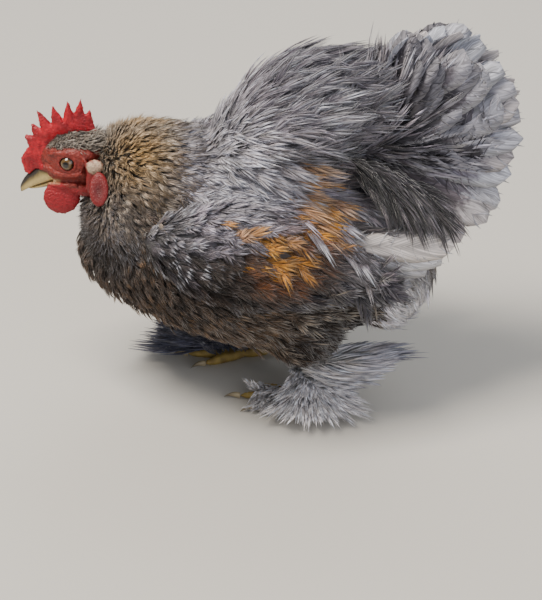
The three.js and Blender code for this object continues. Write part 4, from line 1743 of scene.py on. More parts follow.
@dataclass
class Tail:
    """The tail: a fan of broad quills, closed over by rows of shorter coverts."""

    root: tuple = (-60, 0, 165)
    top: float = 74  # direction of the highest feather, degrees above level
    fall: float = 118  # degrees from the highest round to the lowest
    quills: int = 16  # on each side
    tuck: float = 0.16  # share of its length that the lowest feather is shorter by
    soft: int = 120  # under-feathers on each side
    hanging: int = 60  # loose coverts on each side
    broad: float = 12  # width from which a covert lies flat like a quill
    # How far out each row is rooted, and its feathers' number, length, width and curl.
    rows: tuple = (
        (34, 9, 42, 25, 5), (23, 11, 44, 23, 8), (13, 13, 40, 19, 8), (15, 24, 40, 9, 10),
        (4, 26, 40, 9.5, 12), (-6, 26, 38, 8.5, 12), (-14, 24, 38, 8, 10),
    )

    def shell(self, reach: Array, down: Array, sign: float) -> Array:
        """A place on the lens-shaped outside of the tail.

        Args:
            reach: Millimetres from the tail's root.
            down: Place round the fan, from 0 at its top to 1 at its bottom.
            sign: 1 for the left side, -1 for the right.

        Returns:
            The places in mm.
        """
        angle = np.radians(self.top + 4 - (self.fall + 4) * down)
        round_off = np.sqrt(np.clip(1 - (reach / 92) ** 2, 0, 1))
        side = sign * (2 + 33 * (round_off * np.sin(math.pi * (0.1 + 0.74 * down))))
        x = self.root[0] - reach * np.cos(angle)
        z = self.root[2] + 4 + reach * np.sin(angle)
        return columns(x, side, z)

    def edge(self, down: Array) -> Array:
        """How far the fan reaches from its root, in mm, at places round it."""
        angle = self.top + 4 - (self.fall + 4) * down
        return 91 - 27 * np.clip((angle - 40) / 44, 0, 1) ** 2

    def covert_row(self, rng: Rng, row: tuple, sign: float) -> Fan:
        """One row of coverts over the quills.

        Args:
            rng: The source of small differences.
            row: How far out it is rooted, and its feathers' number, length, width and curl.
            sign: 1 for the left side, -1 for the right.

        Returns:
            The row.
        """
        start, count, long, wide, curl = row
        broad = wide > self.broad
        down = (np.arange(count) + rng.uniform(0, 1, count)) / count * 1.12 - 0.12
        near = start + rng.uniform(-5, 5, count)
        if broad:
            down = down * 0.86 + 0.15
        length = long * rng.uniform(0.78, 1.15, count)
        spare = rng.uniform(3, 11, count) + 5 * broad
        length = np.minimum(length, self.edge(down) - near - spare)
        a = self.shell(near, down, sign)
        b = self.shell(near + length, down + rng.normal(0.01, 0.05, count), sign)
        across = self.shell(near, down + 0.02, sign) - a
        aim = unit(b - a)
        face = unit(np.cross(aim, across))
        face *= np.sign(face[:, 1:2] * sign + 1e-9)
        lean = np.cross(aim, face) * rng.normal(0, 0.1 if broad else 0.3, (count, 1))
        sunk = a - face * rng.uniform(1, 4, (count, 1))
        bend = curl * rng.uniform(0.2, 1.6, count)
        size = wide * rng.uniform(0.75, 1.25, count)
        return Fan(sunk, aim, unit(face + lean), length, size, 0.5, bend)

    def quill_fan(self, rng: Rng, sign: float) -> Fan:
        """The long feathers of one side.

        Args:
            rng: The random draws of this growth.
            sign: 1 for the left side and -1 for the right.

        Returns:
            The fan.
        """
        count = self.quills
        down = (np.arange(count) + rng.uniform(-0.35, 0.35, count)) / (count - 1)
        down = np.clip(down * 1.1 - 0.1, -0.1, 1)
        root = columns(self.root[0] - 6, sign * (3 + 15 * down), self.root[2] + 6 - 14 * down)
        out = sign * (4 + 10 * down + rng.uniform(-2, 2, count))
        ways = (self.top - self.fall * down, out, sign * (52 + 22 * down))
        held = np.maximum(down, 0)
        long = (self.edge(down) - 7) * (1 - self.tuck * held**2) * rng.uniform(0.93, 1.0, count)
        wide = 25 * rng.uniform(0.85, 1.1, count)
        return Fan.spread(root, ways, long, wide, 0.7, 26 - 12 * down)

    def filling(self, rng: Rng, sign: float) -> Fan:
        """Soft feathers under the tail, which fill the hollow between its two sides.

        Args:
            rng: The random draws of this growth.
            sign: 1 for the left side and -1 for the right.

        Returns:
            The fan.
        """
        count = self.soft
        down, off = 1.06 * rng.random(count) ** 1.4 - 0.06, rng.uniform(0, 1, count)
        z = self.root[2] + 2 - 24 * down
        root = columns(self.root[0] - 4, sign * (1 + 15 * off), z)
        out = sign * (-2 + 15 * off * down + rng.uniform(-5, 5, count))
        ways = (self.top - 6 - self.fall * down, out, sign * (4 + 30 * off))
        long = (self.edge(down) - 7) * (0.99 - 0.25 * down) * rng.uniform(0.8, 1.0, count)
        wide = 17 * rng.uniform(0.8, 1.2, count)
        return Fan.spread(root, ways, long, wide, 0.4, rng.uniform(0, 24, count))

    def drooping(self, rng: Rng, sign: float) -> Fan:
        """The loose curling feathers that hang over the tail's lower edge.

        Args:
            rng: The random draws of this growth.
            sign: 1 for the left side and -1 for the right.

        Returns:
            The fan.
        """
        count = self.hanging
        share = rng.uniform(0, 1, count)
        z = 163 - 20 * share + 7 * rng.uniform(-1, 1, count)
        root = columns(-45 - 35 * share, sign * (41 - 11 * share), z)
        out = sign * rng.uniform(-2, 14, count)
        ways = (rng.uniform(-38, -10, count), out, sign * rng.uniform(50, 80, count))
        long = 40 * rng.uniform(0.75, 1.15, count)
        wide = 8 * rng.uniform(0.75, 1.2, count)
        return Fan.spread(root, ways, long, wide, 0.4, rng.uniform(-15, 20, count))

    def dress(self, coat: Coat) -> None:
        """Grows the quills and the coverts.

        Args:
            coat: The coat that the feathers join.
        """
        rng = np.random.default_rng(61)
        sides, slot = list(SIDES.values()), "tail_feathers"
        fans = [self.quill_fan(rng, sign) for sign in sides]
        quills = together([f.feathers(rng, "tail", 0.1) for f in fans])
        quills.tip = blend(quills.plume, INK.pearl, 0.55 + 0.4 * rng.random(len(quills.root)))
        quills.plume = blend(quills.plume, INK.ink, 0.45)
        quills.mark += (0.9, 0.4, 0.8)
        coat.piece("tail_quills", quills, Pattern.QUILL, "quill", slot, ("tail",), 0.05)
        for name, rows, pattern, finish, broad in (
            ("outer", self.rows[:3], Pattern.PLUME, "quill", 0.4),
            ("inner", self.rows[3:], Pattern.LANCE, "saddle", 0.0),
        ):
            fans = [self.covert_row(rng, row, sign) for row in rows for sign in sides]
            coverts = together([f.feathers(rng, "tail", 0.2) for f in fans])
            light = rng.random(len(coverts.root))
            low = rise(0.1, -0.5, coverts.aim[:, 2])
            high = rise(0.45, 0.8, coverts.aim[:, 2])
            dark = np.clip(0.4 + broad + 0.4 * (light < 0.3) + 0.6 * low, 0, 0.95)
            coverts.plume = blend(coverts.plume, INK.ink, dark)
            pale = (0.15 + 0.6 * broad + 0.5 * light) * (1 - 0.3 * low) * (1 - 0.5 * high)
            coverts.tip = blend(coverts.plume, INK.cloud, pale)
            coverts.mark += (1.0, 0.0, 0.8)
            coverts.mark[:, 1] = 0.6 * (rng.random(len(light)) < 0.15 + 0.5 * high)
            coat.piece(f"tail_coverts_{name}", coverts, pattern, finish, slot, (), 0.06)
        under = together([self.filling(rng, sign).feathers(rng, "tail", 0.2) for sign in sides])
        under.plume = blend(under.plume, INK.slate, 0.3)
        under.tip = blend(under.plume, INK.cloud, 0.3 + 0.6 * rng.random(len(under.root)))
        under.mark += (1.0, 0.0, 0.3)
        coat.piece("tail_under_feathers", under, Pattern.SILK, "down", slot)
        loose = together([self.drooping(rng, sign).feathers(rng, "tail", 0.2) for sign in sides])
        count = len(loose.root)
        loose.plume = blend(loose.plume, INK.ink * 0.35, 0.85 + 0.15 * rng.random(count))
        loose.tip = blend(loose.plume, INK.lavender, 0.6 * rng.random(count) ** 3)
        loose.mark += (0.8, 0.0, 0.5)
        loose.bend[:, 2] -= np.sign(measure(loose.root)[:, 1]) * rng.uniform(0.1, 0.7, count)
        coat.piece("tail_loose_coverts", loose, Pattern.LANCE, "saddle", slot)


@dataclass
class Flights:
    """The folded wings' flight feathers, and the greater coverts over their roots."""

    count: int = 8
    coverts: int = 90  # on each side

    def dress(self, coat: Coat) -> None:
        """Grows both wings' flight feathers.

        Args:
            coat: The coat that the feathers join.
        """
        rng, count = np.random.default_rng(62), self.count
        for side, sign in SIDES.items():
            share = np.linspace(0, 3, count)
            root = columns(-20 - 6 * share, sign * (57 - share), 101 + 6.2 * share)
            out = sign * (-10 - share) + rng.uniform(-2, 2, count)
            ways = (-20 + 4 * share, out, np.full(count, sign * 74.0))
            long = (58 + 5.5 * share) * rng.uniform(0.94, 1.0, count)
            wide = (17 + 8 * rise(1.6, 2.6, share)) * rng.uniform(0.95, 1.1, count)
            fan = Fan.spread(root, ways, long, wide, 0.6, np.full(count, 6.0))
            quills = fan.feathers(rng, f"flights_{side}", 0.08)
            pale = 0.9 * rise(1.6, 2.6, share)
            quills.plume = blend(blend(quills.plume, INK.slate, 0.8), INK.white, pale)
            quills.tip = blend(quills.plume, INK.white, 0.25 + 0.6 * rise(1.2, 2.4, share))
            quills.mark += (1.0, 0.1, 0.8)
            name, nodes = f"flight_feathers_{side}", (f"flights_{side}",)
            coat.piece(name, quills, Pattern.QUILL, "quill", "wing_feathers", nodes, 0.04)
            self.cover(coat, rng, side)

    def cover(self, coat: Coat, rng: Rng, side: str) -> None:
        """Grows one wing's greater coverts over the roots of its flight feathers.

        Args:
            coat: The coat that the feathers join.
            rng: The random draws of this growth.
            side: left or right.
        """
        sign, count = SIDES[side], self.coverts
        up, back = rng.uniform(0, 1, count), rng.uniform(0, 1, count)
        y = sign * (66 - 9 * up - 11 * back)
        root = columns(-10 - 41 * back, y, 92 + 42 * up - 5 * back)
        out = sign * (-14 + rng.uniform(-5, 9, count))
        ways = (-20 + 8 * up, out, sign * rng.uniform(66, 84, count))
        long = 26 * rng.uniform(0.75, 1.15, count)
        wide = 9 * rng.uniform(0.7, 1.2, count)
        fan = Fan.spread(root, ways, long, wide, 0.35, rng.uniform(-12, 8, count))
        coverts = fan.feathers(rng, f"flights_{side}", 0.2)
        white = rng.random(count) ** 3 * (0.2 + 0.2 * (up < 0.4))
        coverts.tip = blend(coverts.plume, INK.white, white)
        coverts.mark += (1.0, 0.0, 0.5)
        coat.piece(f"greater_coverts_{side}", coverts, Pattern.SILK, "covert", "wing_feathers")


@dataclass
class Boots:
    """The stiff feathers on the feet, and those that point back from the hocks."""

    # On each foot: the first and the last feather's way in degrees, how far along the foot
    # they are rooted, how steeply the upper layers rise, and how white they are, which is painted
    # light: the near foot white as if sunlit, the far one dull as if in shade.
    sides: dict = field(
        default_factory=lambda: {"left": (35, 125, 12, 0.3, 0.9), "right": (95, 188, 40, 1.0, 0.15)}
    )
    # Length, width, rise above the floor and number of the feathers in each layer.
    layers: tuple = (
        (44, 11, 4, 26), (38, 10, 9, 26), (30, 9, 15, 26), (22, 8, 20, 24), (14, 7, 25, 20),
    )
    hock_layers: tuple = (12, 18, 24, 26)

    def foot_feathers(self, rng: Rng, side: str) -> Feathers:
        """Layers of feathers that spread over the outer toes and the floor.

        Args:
            rng: The random draws of this growth.
            side: left or right.

        Returns:
            The feathers.
        """
        sign, heel = SIDES[side], HEELS[side]
        low, high, stride, steep, _ = self.sides[side]
        made = []
        for long, wide, up, count in self.layers:
            t = (np.arange(count) + rng.uniform(0, 1, count)) / count
            y = heel[1] + sign * rng.uniform(2 - 9 * t, 8, count)
            root = columns(heel[0] - 9 + stride * t, y, 4.5 + up * 0.6)
            out = sign * (low + (high - low) * t + rng.uniform(-7, 7, count))
            rises = rng.uniform(-3, 6, count) + steep * up - 4
            ways = (rises, out, rng.uniform(-14, 14, count))
            length = long * rng.uniform(0.8, 1.02, count)
            width = wide * rng.uniform(0.7, 1.3, count)
            fan = Fan.spread(root, ways, length, width, 0.4, rng.uniform(-12, 4, count))
            made.append(fan.feathers(rng, f"foot_feathers_{side}", 0.12))
        return together(made)

    def hock_feathers(self, rng: Rng, side: str) -> Feathers:
        """The long feathers that point back from one hock and close to one point.

        Args:
            rng: The random draws of this growth.
            side: left or right.

        Returns:
            The feathers.
        """
        sign, heel = SIDES[side], HEELS[side]
        made = []
        for layer, count in enumerate(self.hock_layers):
            t = rng.uniform(0, 1, count)
            x = heel[0] + rng.uniform(-12, 3, count)
            y = heel[1] + (2 + 9 * rng.random(count)) * sign
            root = columns(x, y, 31 - 17 * t)
            long = 69 * (1 - 0.17 * layer) * rng.uniform(0.88, 1.0, count) * (1 - 0.2 * t)
            out = sign * (14 + 6 * t + rng.uniform(-6, 6, count))
            rises = 14 + (14 - 7 * layer) * t + rng.uniform(-4, 4, count)
            ways = (rises, out, sign * rng.uniform(20, 65, count))
            wide = 15 * rng.uniform(0.75, 1.2, count)
            fan = Fan.spread(root, ways, long, wide, 0.4, rng.uniform(-6, 6, count))
            made.append(fan.feathers(rng, f"hock_feathers_{side}", 0.12))
        return together(made)

    def dress(self, coat: Coat) -> None:
        """Grows the feathers of both feet and both hocks.

        Args:
            coat: The coat that the feathers join.
        """
        rng = np.random.default_rng(63)
        for side in SIDES:
            made = {
                f"foot_feathers_{side}": self.foot_feathers(rng, side),
                f"hock_feathers_{side}": self.hock_feathers(rng, side),
            }
            for name, feathers in made.items():
                count = len(feathers.root)
                # White tips towards the front: painted sunlight on the near foot, little on the far
                # one in painted shade.
                light = rise(-96, -60, measure(feathers.root)[:, 0] - 55) * self.sides[side][-1]
                feathers.tip = blend(feathers.plume, INK.white, light * rng.random(count))
                # The near hock alone turned white: painted sunlight on the near side.
                if name == "hock_feathers_left":
                    feathers.tip = blend(feathers.plume, INK.dusk, 0.4 + 0.5 * rng.random(count))
                    feathers.plume = blend(feathers.plume, INK.white, 0.8)
                feathers.mark += (0.8, 0.0, 0.5)
                web = f"{name}_web"
                coat.piece(web, feathers, Pattern.SILK, "down", "fluff_feathers", (name,))


# ---- Bare parts of their own


def declare(piece: Object, slot: str, *nodes: str) -> None:
    """Says that a piece rides on the bird and what it replaces.

    Args:
        piece: The piece.
        slot: Not used.
        nodes: CAD nodes that it stands for.
    """
    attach(piece, "root")
    if nodes:
        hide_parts(*nodes)


def right_way(made: Object) -> None:
    """Turns a closed mesh's faces outwards.

    Args:
        made: The closed mesh object.
    """
    work = bmesh.new()
    work.from_mesh(made.data)
    bmesh.ops.remove_doubles(work, verts=work.verts, dist=1e-6)
    bmesh.ops.recalc_face_normals(work, faces=work.faces)
    work.to_mesh(made.data)
    work.free()


@dataclass
class Bill:
    """The two halves of the bill, which meet on a drooping mouth line."""

    droop: float = -22.0
    half_width: float = 6.2
    upper: tuple = ((122.5, 0, 137.3), 22.5, 9.4, -3.4)  # root, length, height there, hook
    lower: tuple = ((121, 0, 134.6), 18, 3.8, 0.4)
    tip: float = 0.08  # thickness of the tip, as a share of the root's
    lip: float = 0.12  # how far each half reaches past the mouth line
    inset: float = 0.985  # of its length and width, so that it stays inside the CAD's
    rings: int = 26
    sides: int = 32

    def half(self, name: str, is_upper: bool, finish: Material) -> None:
        """Builds one half of the bill.

        Args:
            name: The CAD node that it replaces, which also names the piece.
            is_upper: True for the upper half.
            finish: Its material.
        """
        root, long, high, hook = self.upper if is_upper else self.lower
        tilt = math.radians(self.droop)
        ahead = np.array([math.cos(tilt), 0, math.sin(tilt)])
        above = np.array([-math.sin(tilt), 0, math.cos(tilt)])
        turn = np.linspace(0, 2 * math.pi, self.sides, endpoint=False)
        round_side, rise_up, ridge = np.cos(turn), np.minimum(np.sin(turn), self.lip), 0
        if is_upper:
            rise_up = np.maximum(np.sin(turn), -self.lip)
            ridge = 0.10 * np.exp(-((round_side / 0.22) ** 2)) * (rise_up > 0)
        points = []
        for t in np.linspace(0, 1, self.rings) ** 0.8:
            slim = math.sqrt(1 - t) * (1 - self.tip) + self.tip
            side = round_side * self.half_width * slim * self.inset
            z = rise_up * (0.95 + ridge) * high * slim + hook * (t**3 if is_upper else t)
            ring = long * t * self.inset * ahead + np.outer(z, above) + np.outer(side, (0, 1, 0))
            points.append(ring + np.array(root))
        rows = np.concatenate(points)
        faces = tube(self.rings, self.sides)
        made = mesh_object(f"{name}_horn", place(0, 0, 0) + rows * MM, faces)
        right_way(made)
        off = measure(coords(made.data)) - np.array(root)
        share = np.clip(off @ ahead / long, 0, 1)
        tall = np.abs(off @ above - hook * share**3 * is_upper)
        tall = tall / (high * ((1 - self.tip) * np.sqrt(1 - share) + self.tip))
        store(made.data, "horn", "FLOAT_VECTOR", columns(share, tall, 0))
        made.data.materials.append(finish)
        declare(made, "bill_horn", name)
        log.info("%s: %d points", made.name, len(rows))

    def build(self, finish: Material) -> None:
        """Builds both halves."""
        self.half("bill_upper", True, finish)
        self.half("bill_lower", False, finish)


@dataclass
class Eyes:
    """The eyeballs, each with a slightly domed cornea."""

    radius: float = 5.25
    dome: float = 0.45
    iris: float = 3.6

    def build(self, finish: Material) -> None:
        """Builds both eyes and stores how far each point is from the pupil's middle.

        Args:
            finish: The eyes' material.
        """
        for side, sign in SIDES.items():
            look = unit(np.array(EYE_LOOK) * (1, sign, 1))
            ball = bmesh.new()
            bmesh.ops.create_uvsphere(ball, u_segments=48, v_segments=32, radius=1)
            turn = Vector((0, 0, 1)).rotation_difference(Vector(look))
            bmesh.ops.rotate(ball, verts=ball.verts, matrix=turn.to_matrix())
            mesh = bpy.data.meshes.new(f"eyeball_{side}")
            ball.to_mesh(mesh)
            ball.free()
            way = unit(coords(mesh))
            off = self.radius * np.sqrt(np.clip(1 - (way @ look) ** 2, 0, 1))
            off = np.where(way @ look > 0, off, 2 * self.radius - off)
            reach = self.radius + self.dome * np.clip(1 - (off / self.iris) ** 2, 0, 1)
            centre = np.array(EYE_CENTRE) * (1, sign, 1)
            moulded(mesh, place(0, 0, 0) + (centre + way * reach[:, None]) * MM)
            store(mesh, "pupil", "FLOAT_VECTOR", columns(off, off, off))
            smoothed(mesh)
            mesh.materials.append(finish)
            declare(linked(mesh.name, mesh), "eyeball", f"eye_{side}")
            log.info("%s: built", mesh.name)


@dataclass
class Claws:
    """The claws: short curved horns at the ends of the toes."""

    long: float = 9.0
    thick: float = 1.85
    base_height: float = 2.1
    rings: int = 12
    sides: int = 12

    def build(self, finish: Material) -> None:
        """Builds each foot's four claws, one piece for each.

        Args:
            finish: The claws' material.
        """
        upright = np.tile((0, 0, 1.0), (self.rings, 1))
        t = np.linspace(-0.12, 0.97, self.rings)[:, None]
        held = np.clip(t, 0, 1)
        arch = 0.9 * np.sin(math.pi * held) - 1.35 * held**2
        slim = np.clip(1 - held**1.4, 0.05, 1) * self.thick
        for side, sign in SIDES.items():
            heel = HEELS[side]
            for name, (aim, reach) in TOES.items():
                turn = math.radians(aim * sign)
                ahead = np.array([math.cos(turn), math.sin(turn), 0])
                aside = np.array([-math.sin(turn), math.cos(turn), 0])
                start = np.array([heel[0] + TOE_START, heel[1], self.base_height]) + ahead * reach
                path = start + ahead * (t * self.long) + arch * np.array([0, 0, 1.0])
                sizes = np.concatenate([slim * 0.85, slim], 1)
                sizes[:, 1] = np.minimum(sizes[:, 1], np.maximum(path[:, 2] - 0.15, 0.1))
                across = np.tile(aside, (self.rings, 1))
                points, faces = loft(path, across, upright, sizes, self.sides)
                made = mesh_object(f"claw_{name}_{side}_horn", place(0, 0, 0) + points * MM, faces)
                right_way(made)
                share = (measure(coords(made.data)) - start) @ ahead / self.long
                store(made.data, "horn", "FLOAT_VECTOR", columns(share, share, 0))
                made.data.materials.append(finish)
                declare(made, "claw_horn", f"claw_{name}_{side}")
        log.info("claws: built")


# ---- Finishes


def started(name: str) -> tuple[Material, partial, partial, partial]:
    """Makes a material with an empty node tree.

    Args:
        name: The material's name.

    Returns:
        The material, and the calls that add a node, a colour mix and a soft step to its tree.
    """
    made = bpy.data.materials.new(name)
    made.use_nodes = True
    made.node_tree.nodes.clear()
    put = partial(add_node, made.node_tree)
    mix = partial(put, "ShaderNodeMix", data_type="RGBA")
    step = partial(put, "ShaderNodeMapRange", interpolation_type="SMOOTHSTEP")
    return made, put, mix, step


def finished(put: partial, colour: object, rough: object, specular: float, **more: object) -> None:
    """Ends a material's tree with one Principled shader.

    Args:
        put: The call that adds a node to the tree.
        colour: The base colour.
        rough: The roughness.
        specular: The specular level.
        more: Further inputs by name, with _ for each space.
    """
    sockets = {"Base Color": colour, "Roughness": rough, "Specular IOR Level": specular}
    sockets |= {key.replace("_", " "): value for key, value in more.items()}
    put("ShaderNodeOutputMaterial", [put("ShaderNodeBsdfPrincipled", sockets)[0]])


@dataclass(frozen=True)
class FeatherFinish:
    """Grown feather: keratin barbs side by side on a shaft, which part into bundles."""

    name: str
    barbs: float  # bundles of barbs along the web; real barbs are finer than the eye can see
    rim: float = 0.72  # where the tip's colour starts, as a share of the way to the edge
    bars: float = 5.0
    rough: float = 0.6
    sheen: float = 0.25
    relief: float = 0.25  # mm
    dusk: float = 0.4  # lightness of the quill end, as a share of the web's: partly its darker down, partly painted shade where feathers overlap

    def build(self) -> Material:
        """Lays the feather's own colours, its tip, bars and shaft over its web.

        Returns:
            The material.
        """
        made, put, mix, step = started(self.name)
        held = {
            key: put("ShaderNodeAttribute", attribute_name=key)
            for key in ("plume", "tip", "web", "mark", "tone")
        }
        u, v, rim = put(SPLIT, [held["web"]["Vector"]])
        tip_mark, bar_mark, shaft_mark = put(SPLIT, [held["mark"]["Vector"]])
        where = put("ShaderNodeTexCoord")["Object"]
        mottle = put("ShaderNodeTexNoise", {"Vector": where, "Scale": 420.0, "Detail": 2.0})[0]
        edge = put(TIMES_PLUS, [mottle, 0.3, rim])[0]
        shown = step([edge, self.rim + 0.14, 1.06])[0]
        shown = put(TIMES, [shown, tip_mark])[0]
        colour = mix({0: shown, 6: held["plume"]["Color"], 7: held["tip"]["Color"]})[2]

        # Bundles of barbs slant from the shaft towards the tip, unevenly.
        off = put(SIZE, [v])[0]
        slant = put(TIMES_PLUS, [off, -0.3, u])[0]
        along = put(TIMES, [slant, self.barbs])[0]
        lane = put("ShaderNodeCombineXYZ", [along, off])[0]
        own = put(SCALED, {0: where, "Scale": 90.0})[0]
        lane = put(MOVED, [lane, own])[0]
        ridge = put("ShaderNodeTexNoise", {"Vector": lane, "Scale": 1.0, "Detail": 3.0})[0]
        split = step([ridge, 0.34, 0.66, 0.62, 1.22])[0]

        # Bars across the web, the shaft's streak, and the darker quill end: partly its own down,
        # partly painted shade where feathers overlap.
        ring = put(TIMES_PLUS, [slant, 2 * math.pi * self.bars, mottle])[0]
        ring = put(SINE, [ring])[0]
        ring = put(TIMES, [step([ring, 0.0, 0.9])[0], bar_mark])[0]
        shade = put(TIMES_PLUS, [ring, -0.6, 1.0])[0]
        near = put(TIMES, [step([off, 0.3, 0.04])[0], shaft_mark])[0]
        near = put(TIMES_PLUS, [near, -0.35, 1.0])[0]
        quill = step([u, 0.0, 0.6, self.dusk, 1.0])[0]
        for part in (near, quill, split):
            shade = put(TIMES, [shade, part])[0]
        colour = put(SCALED, {0: colour, "Scale": shade})[0]
        colour = put(EACH_TIMES, [colour, held["tone"]["Vector"]])[0]
        relief = {"Strength": 0.5, "Distance": self.relief * MM, "Height": ridge}
        normal = put("ShaderNodeBump", relief)[0]
        gloss = {"Sheen_Weight": self.sheen, "Sheen_Roughness": 0.4}
        finished(put, colour, self.rough, 0.3, Normal=normal, **gloss)
        return made


@dataclass(frozen=True)
class SkinFinish:
    """Living skin: pebbled red face and comb, horny scales on the toes, and dark under the coat as
    painted shade between feathers.
    """

    name: str = "living_skin"
    papilla: float = 0.9  # mm between the pebbles of the face
    grit: float = 0.5

    def build(self) -> Material:
        """Colours the skin by its own attributes and raises its pebbles.

        Returns:
            The material.
        """
        made, put, mix, step = started(self.name)
        tint = put("ShaderNodeAttribute", attribute_name="tint")["Color"]
        kind = put("ShaderNodeAttribute", attribute_name="kind")["Vector"]
        bare, scale, _ = put(SPLIT, [kind])
        where = put("ShaderNodeTexCoord")["Object"]
        cells = {"Vector": where, "Scale": 1 / (self.papilla * MM)}
        pebble = put("ShaderNodeTexVoronoi", cells, feature="SMOOTH_F1")[0]
        grain = {"Vector": where, "Scale": 1 / (self.grit * MM), "Detail": 2.0}
        fine = put("ShaderNodeTexNoise", grain)[0]
        # Darker in the furrows between the pebbles: painted shade.
        dark = put(TIMES, [step([pebble, 0.25, 0.75])[0], bare])[0]
        dark = put(TIMES, [dark, 0.25])[0]
        colour = mix({0: dark, 6: tint, 7: linear("#5f060b")})[2]
        speck = step([fine, 0.3, 0.7, 0.93, 1.06])[0]
        colour = put(SCALED, {0: colour, "Scale": speck})[0]
        height = put(TIMES_PLUS, [pebble, -1.0, fine])[0]
        height = put(TIMES, [height, bare])[0]
        height = put(TIMES_PLUS, [fine, 0.3, height])[0]
        rough = step([scale, 0.0, 1.0, 0.42, 0.55])[0]
        relief = {"Strength": 0.7, "Distance": 0.3 * MM, "Height": height}
        flesh = {
            "Subsurface_Weight": 0.08,
            "Subsurface_Radius": (1.0, 0.25, 0.15),
            "Subsurface_Scale": 1.5 * MM,
        }
        finished(put, colour, rough, 0.45, Normal=put("ShaderNodeBump", relief)[0], **flesh)
        return made


@dataclass(frozen=True)
class HornFinish:
    """Worn keratin horn: layered, darker along its ridge and paler at its cutting edge."""

    name: str
    dark: str
    pale: str
    low: float  # the height, as a share, where the pale edge starts, and where it ends
    high: float

    def build(self) -> Material:
        """Shades the horn from its edge to its ridge with fine growth lines.

        Returns:
            The material.
        """
        made, put, mix, step = started(self.name)
        where = put("ShaderNodeTexCoord")["Object"]
        lines = {"Vector": where, "Scale": 500.0, "Detail": 3.0}
        grain = put("ShaderNodeTexNoise", lines)[0]
        horn = put("ShaderNodeAttribute", attribute_name="horn")["Vector"]
        share, height, _ = put(SPLIT, [horn])
        level = put(TIMES_PLUS, [grain, 0.4, height])[0]
        ridge = step([level, self.low, self.high])[0]
        ridge = put(MOST, [ridge, step([share, 0.8, 1.1])[0]])[0]
        colour = mix({0: ridge, 6: linear(self.pale), 7: linear(self.dark)})[2]
        speck = step([grain, 0.3, 0.7, 0.85, 1.12])[0]
        colour = put(SCALED, {0: colour, "Scale": speck})[0]
        relief = {"Strength": 0.3, "Distance": 0.1 * MM, "Height": grain}
        finished(put, colour, 0.38, 0.5, Normal=put("ShaderNodeBump", relief)[0])
        return made


@dataclass(frozen=True)
class EyeFinish:
    """A wet eye: black pupil, olive iris with fine rays and a dark rim, under clear cornea."""

    name: str = "wet_eye"
    pupil: float = 1.45  # mm from the middle
    iris: float = 3.5

    def build(self) -> Material:
        """Rings the eye's colours round the pupil.

        Returns:
            The material.
        """
        made, put, mix, step = started(self.name)
        off = put("ShaderNodeAttribute", attribute_name="pupil")["Vector"]
        off = put(SPLIT, [off])[0]
        where = put("ShaderNodeTexCoord")["Object"]
        rays = put("ShaderNodeTexNoise", {"Vector": where, "Scale": 1500.0, "Detail": 2.0})[0]
        iris = mix({0: rays, 6: linear("#4c3818"), 7: linear("#70542a")})[2]
        inner = step([off, self.pupil + 0.1, self.pupil + 0.9])[0]
        iris = mix({0: inner, 6: linear("#3c2a12"), 7: iris})[2]
        rim = step([off, self.iris - 0.5, self.iris])[0]
        colour = mix({0: rim, 6: iris, 7: linear("#1d130c")})[2]
        hole = step([off, self.pupil, self.pupil + 0.15])[0]
        colour = mix({0: hole, 6: linear("#120e0b"), 7: colour})[2]
        finished(put, colour, 0.12, 0.6, Coat_Weight=0.4, Coat_Roughness=0.05)
        return made


FEATHER_FINISHES = {
    "bristle": FeatherFinish("fine_bristles", barbs=3, rim=0.5, relief=0.08),
    "hackle": FeatherFinish("narrow_hackle_feather", barbs=9, rim=0.62, relief=0.15),
    "contour": FeatherFinish("breast_feather", barbs=9, rim=0.66),
    "saddle": FeatherFinish("long_saddle_feather", barbs=16, rim=0.6, sheen=0.3),
    "covert": FeatherFinish("wing_covert", barbs=12, rim=0.78, sheen=0.2),
    "quill": FeatherFinish("stiff_quill_feather", barbs=34, bars=7, sheen=0.2),
    "down": FeatherFinish("loose_down", barbs=8, rim=0.5, sheen=0.35, dusk=0.85),
}


# ---- Studio


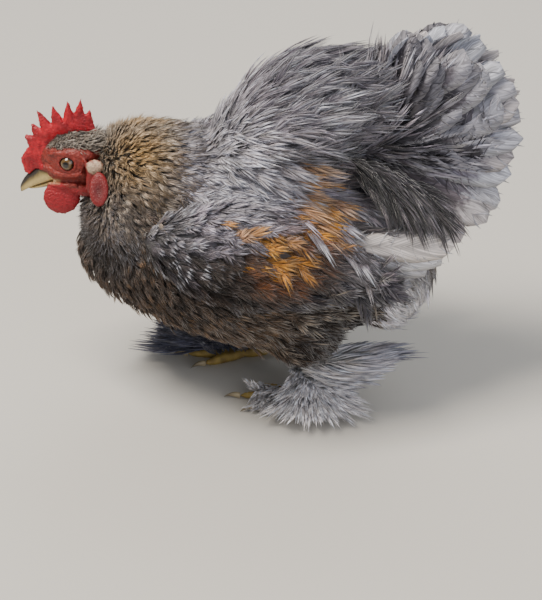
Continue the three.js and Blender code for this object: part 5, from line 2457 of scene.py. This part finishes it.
@dataclass
class Studio:
    """A pale floor, soft light and the camera."""

    look_at: tuple = (-2.2, 0, 53)  # mm
    distance: float = 1.8
    elevation: float = 30.0
    lens: float = 183.6
    floor_width: float = 12.0
    # Name, place in metres, width in metres, power in watts and colour of each lamp.
    lamps: tuple = (
        ("key", (0.7, 0.35, 1.8), 0.8, 56, "#fff6ea"),
        ("fill", (-1.2, 1.7, 0.9), 1.6, 16, "#f4f4fb"),
        ("back", (-0.4, -1.6, 1.4), 1.4, 16, "#ffffff"),
    )
    lit: tuple = (0, 0, 0.1)  # the lamps point here

    def camera(self) -> None:
        """Looks at the bird's left side from above."""
        data = bpy.data.cameras.new("camera")
        data.lens, data.sensor_width = self.lens, 36.0
        data.clip_start, data.clip_end = 0.05, 50.0
        made = linked("camera", data)
        high = math.radians(self.elevation)
        back = Vector((0, math.cos(high), math.sin(high)))
        made.location = Vector(place(*self.look_at)) + back * self.distance
        made.rotation_mode = "QUATERNION"
        made.rotation_quaternion = (-back).to_track_quat("-Z", "Y")
        bpy.context.scene.camera = made

    def lights(self) -> None:
        """Hangs square soft lamps that point at the bird."""
        for name, spot, width, power, tint in self.lamps:
            data = bpy.data.lights.new(name, "AREA")
            data.size, data.energy, data.color = width, power, linear(tint)[:3]
            made = linked(name, data)
            made.location = spot
            aim = Vector(self.lit) - made.location
            made.rotation_euler = aim.to_track_quat("-Z", "Y").to_euler()

    def floor(self) -> None:
        """Lays the floor, which isn't part of the bird."""
        made, put, _, _ = started("pale_matt_floor")
        where = put("ShaderNodeTexCoord")["Object"]
        grain = put("ShaderNodeTexNoise", {"Vector": where, "Scale": 300.0})[0]
        relief = {"Strength": 0.05, "Distance": 0.2 * MM, "Height": grain}
        finished(put, linear("#c9c6bf"), 0.85, 0.5, Normal=put("ShaderNodeBump", relief)[0])
        corners = np.array([(-1, -1, 0), (1, -1, 0), (1, 1, 0), (-1, 1, 0)])
        slab = mesh_object("floor", corners * self.floor_width / 2, [[0, 1, 2, 3]])
        slab.data.materials.append(made)

    def build(self) -> None:
        """Sets up camera, lights, sky and floor."""
        self.camera()
        self.lights()
        world = bpy.data.worlds.new("sky")
        world.use_nodes = True
        world.node_tree.nodes.clear()
        put = partial(add_node, world.node_tree)
        sky = put("ShaderNodeBackground", {"Color": linear("#e9ebee"), "Strength": 0.45})
        put("ShaderNodeOutputWorld", [sky[0]])
        bpy.context.scene.world = world
        self.floor()


def main() -> None:
    """Builds the bird from its skin outwards, then the studio round it."""
    logging.basicConfig(level=logging.INFO, format="%(message)s")
    Studio().build()
    skin, names = SHAPE.build()
    skin.data.materials.append(SkinFinish().build())
    declare(skin, "red_skin", *BODY, *FACE, *FEET)
    log.info("skin: %d points", len(skin.data.vertices))

    Eyes().build(EyeFinish().build())
    Bill().build(HornFinish("bill_keratin", "#2e2925", "#bda66c", 0.35, 1.0).build())
    Claws().build(HornFinish("claw_keratin", "#5a5040", "#b7a888", 0.0, 1.2).build())

    finish = {key: value.build() for key, value in FEATHER_FINISHES.items()}
    coat = Coat(skin, names, SHAPE.envelope(), finish)
    for tract in (coat.crown, coat.hackle, coat.breast, coat.back, coat.wings, coat.fluff):
        tract()
    for part in (Tail(), Flights(), Boots()):
        part.dress(coat)


if __name__ == "__main__":
    main()
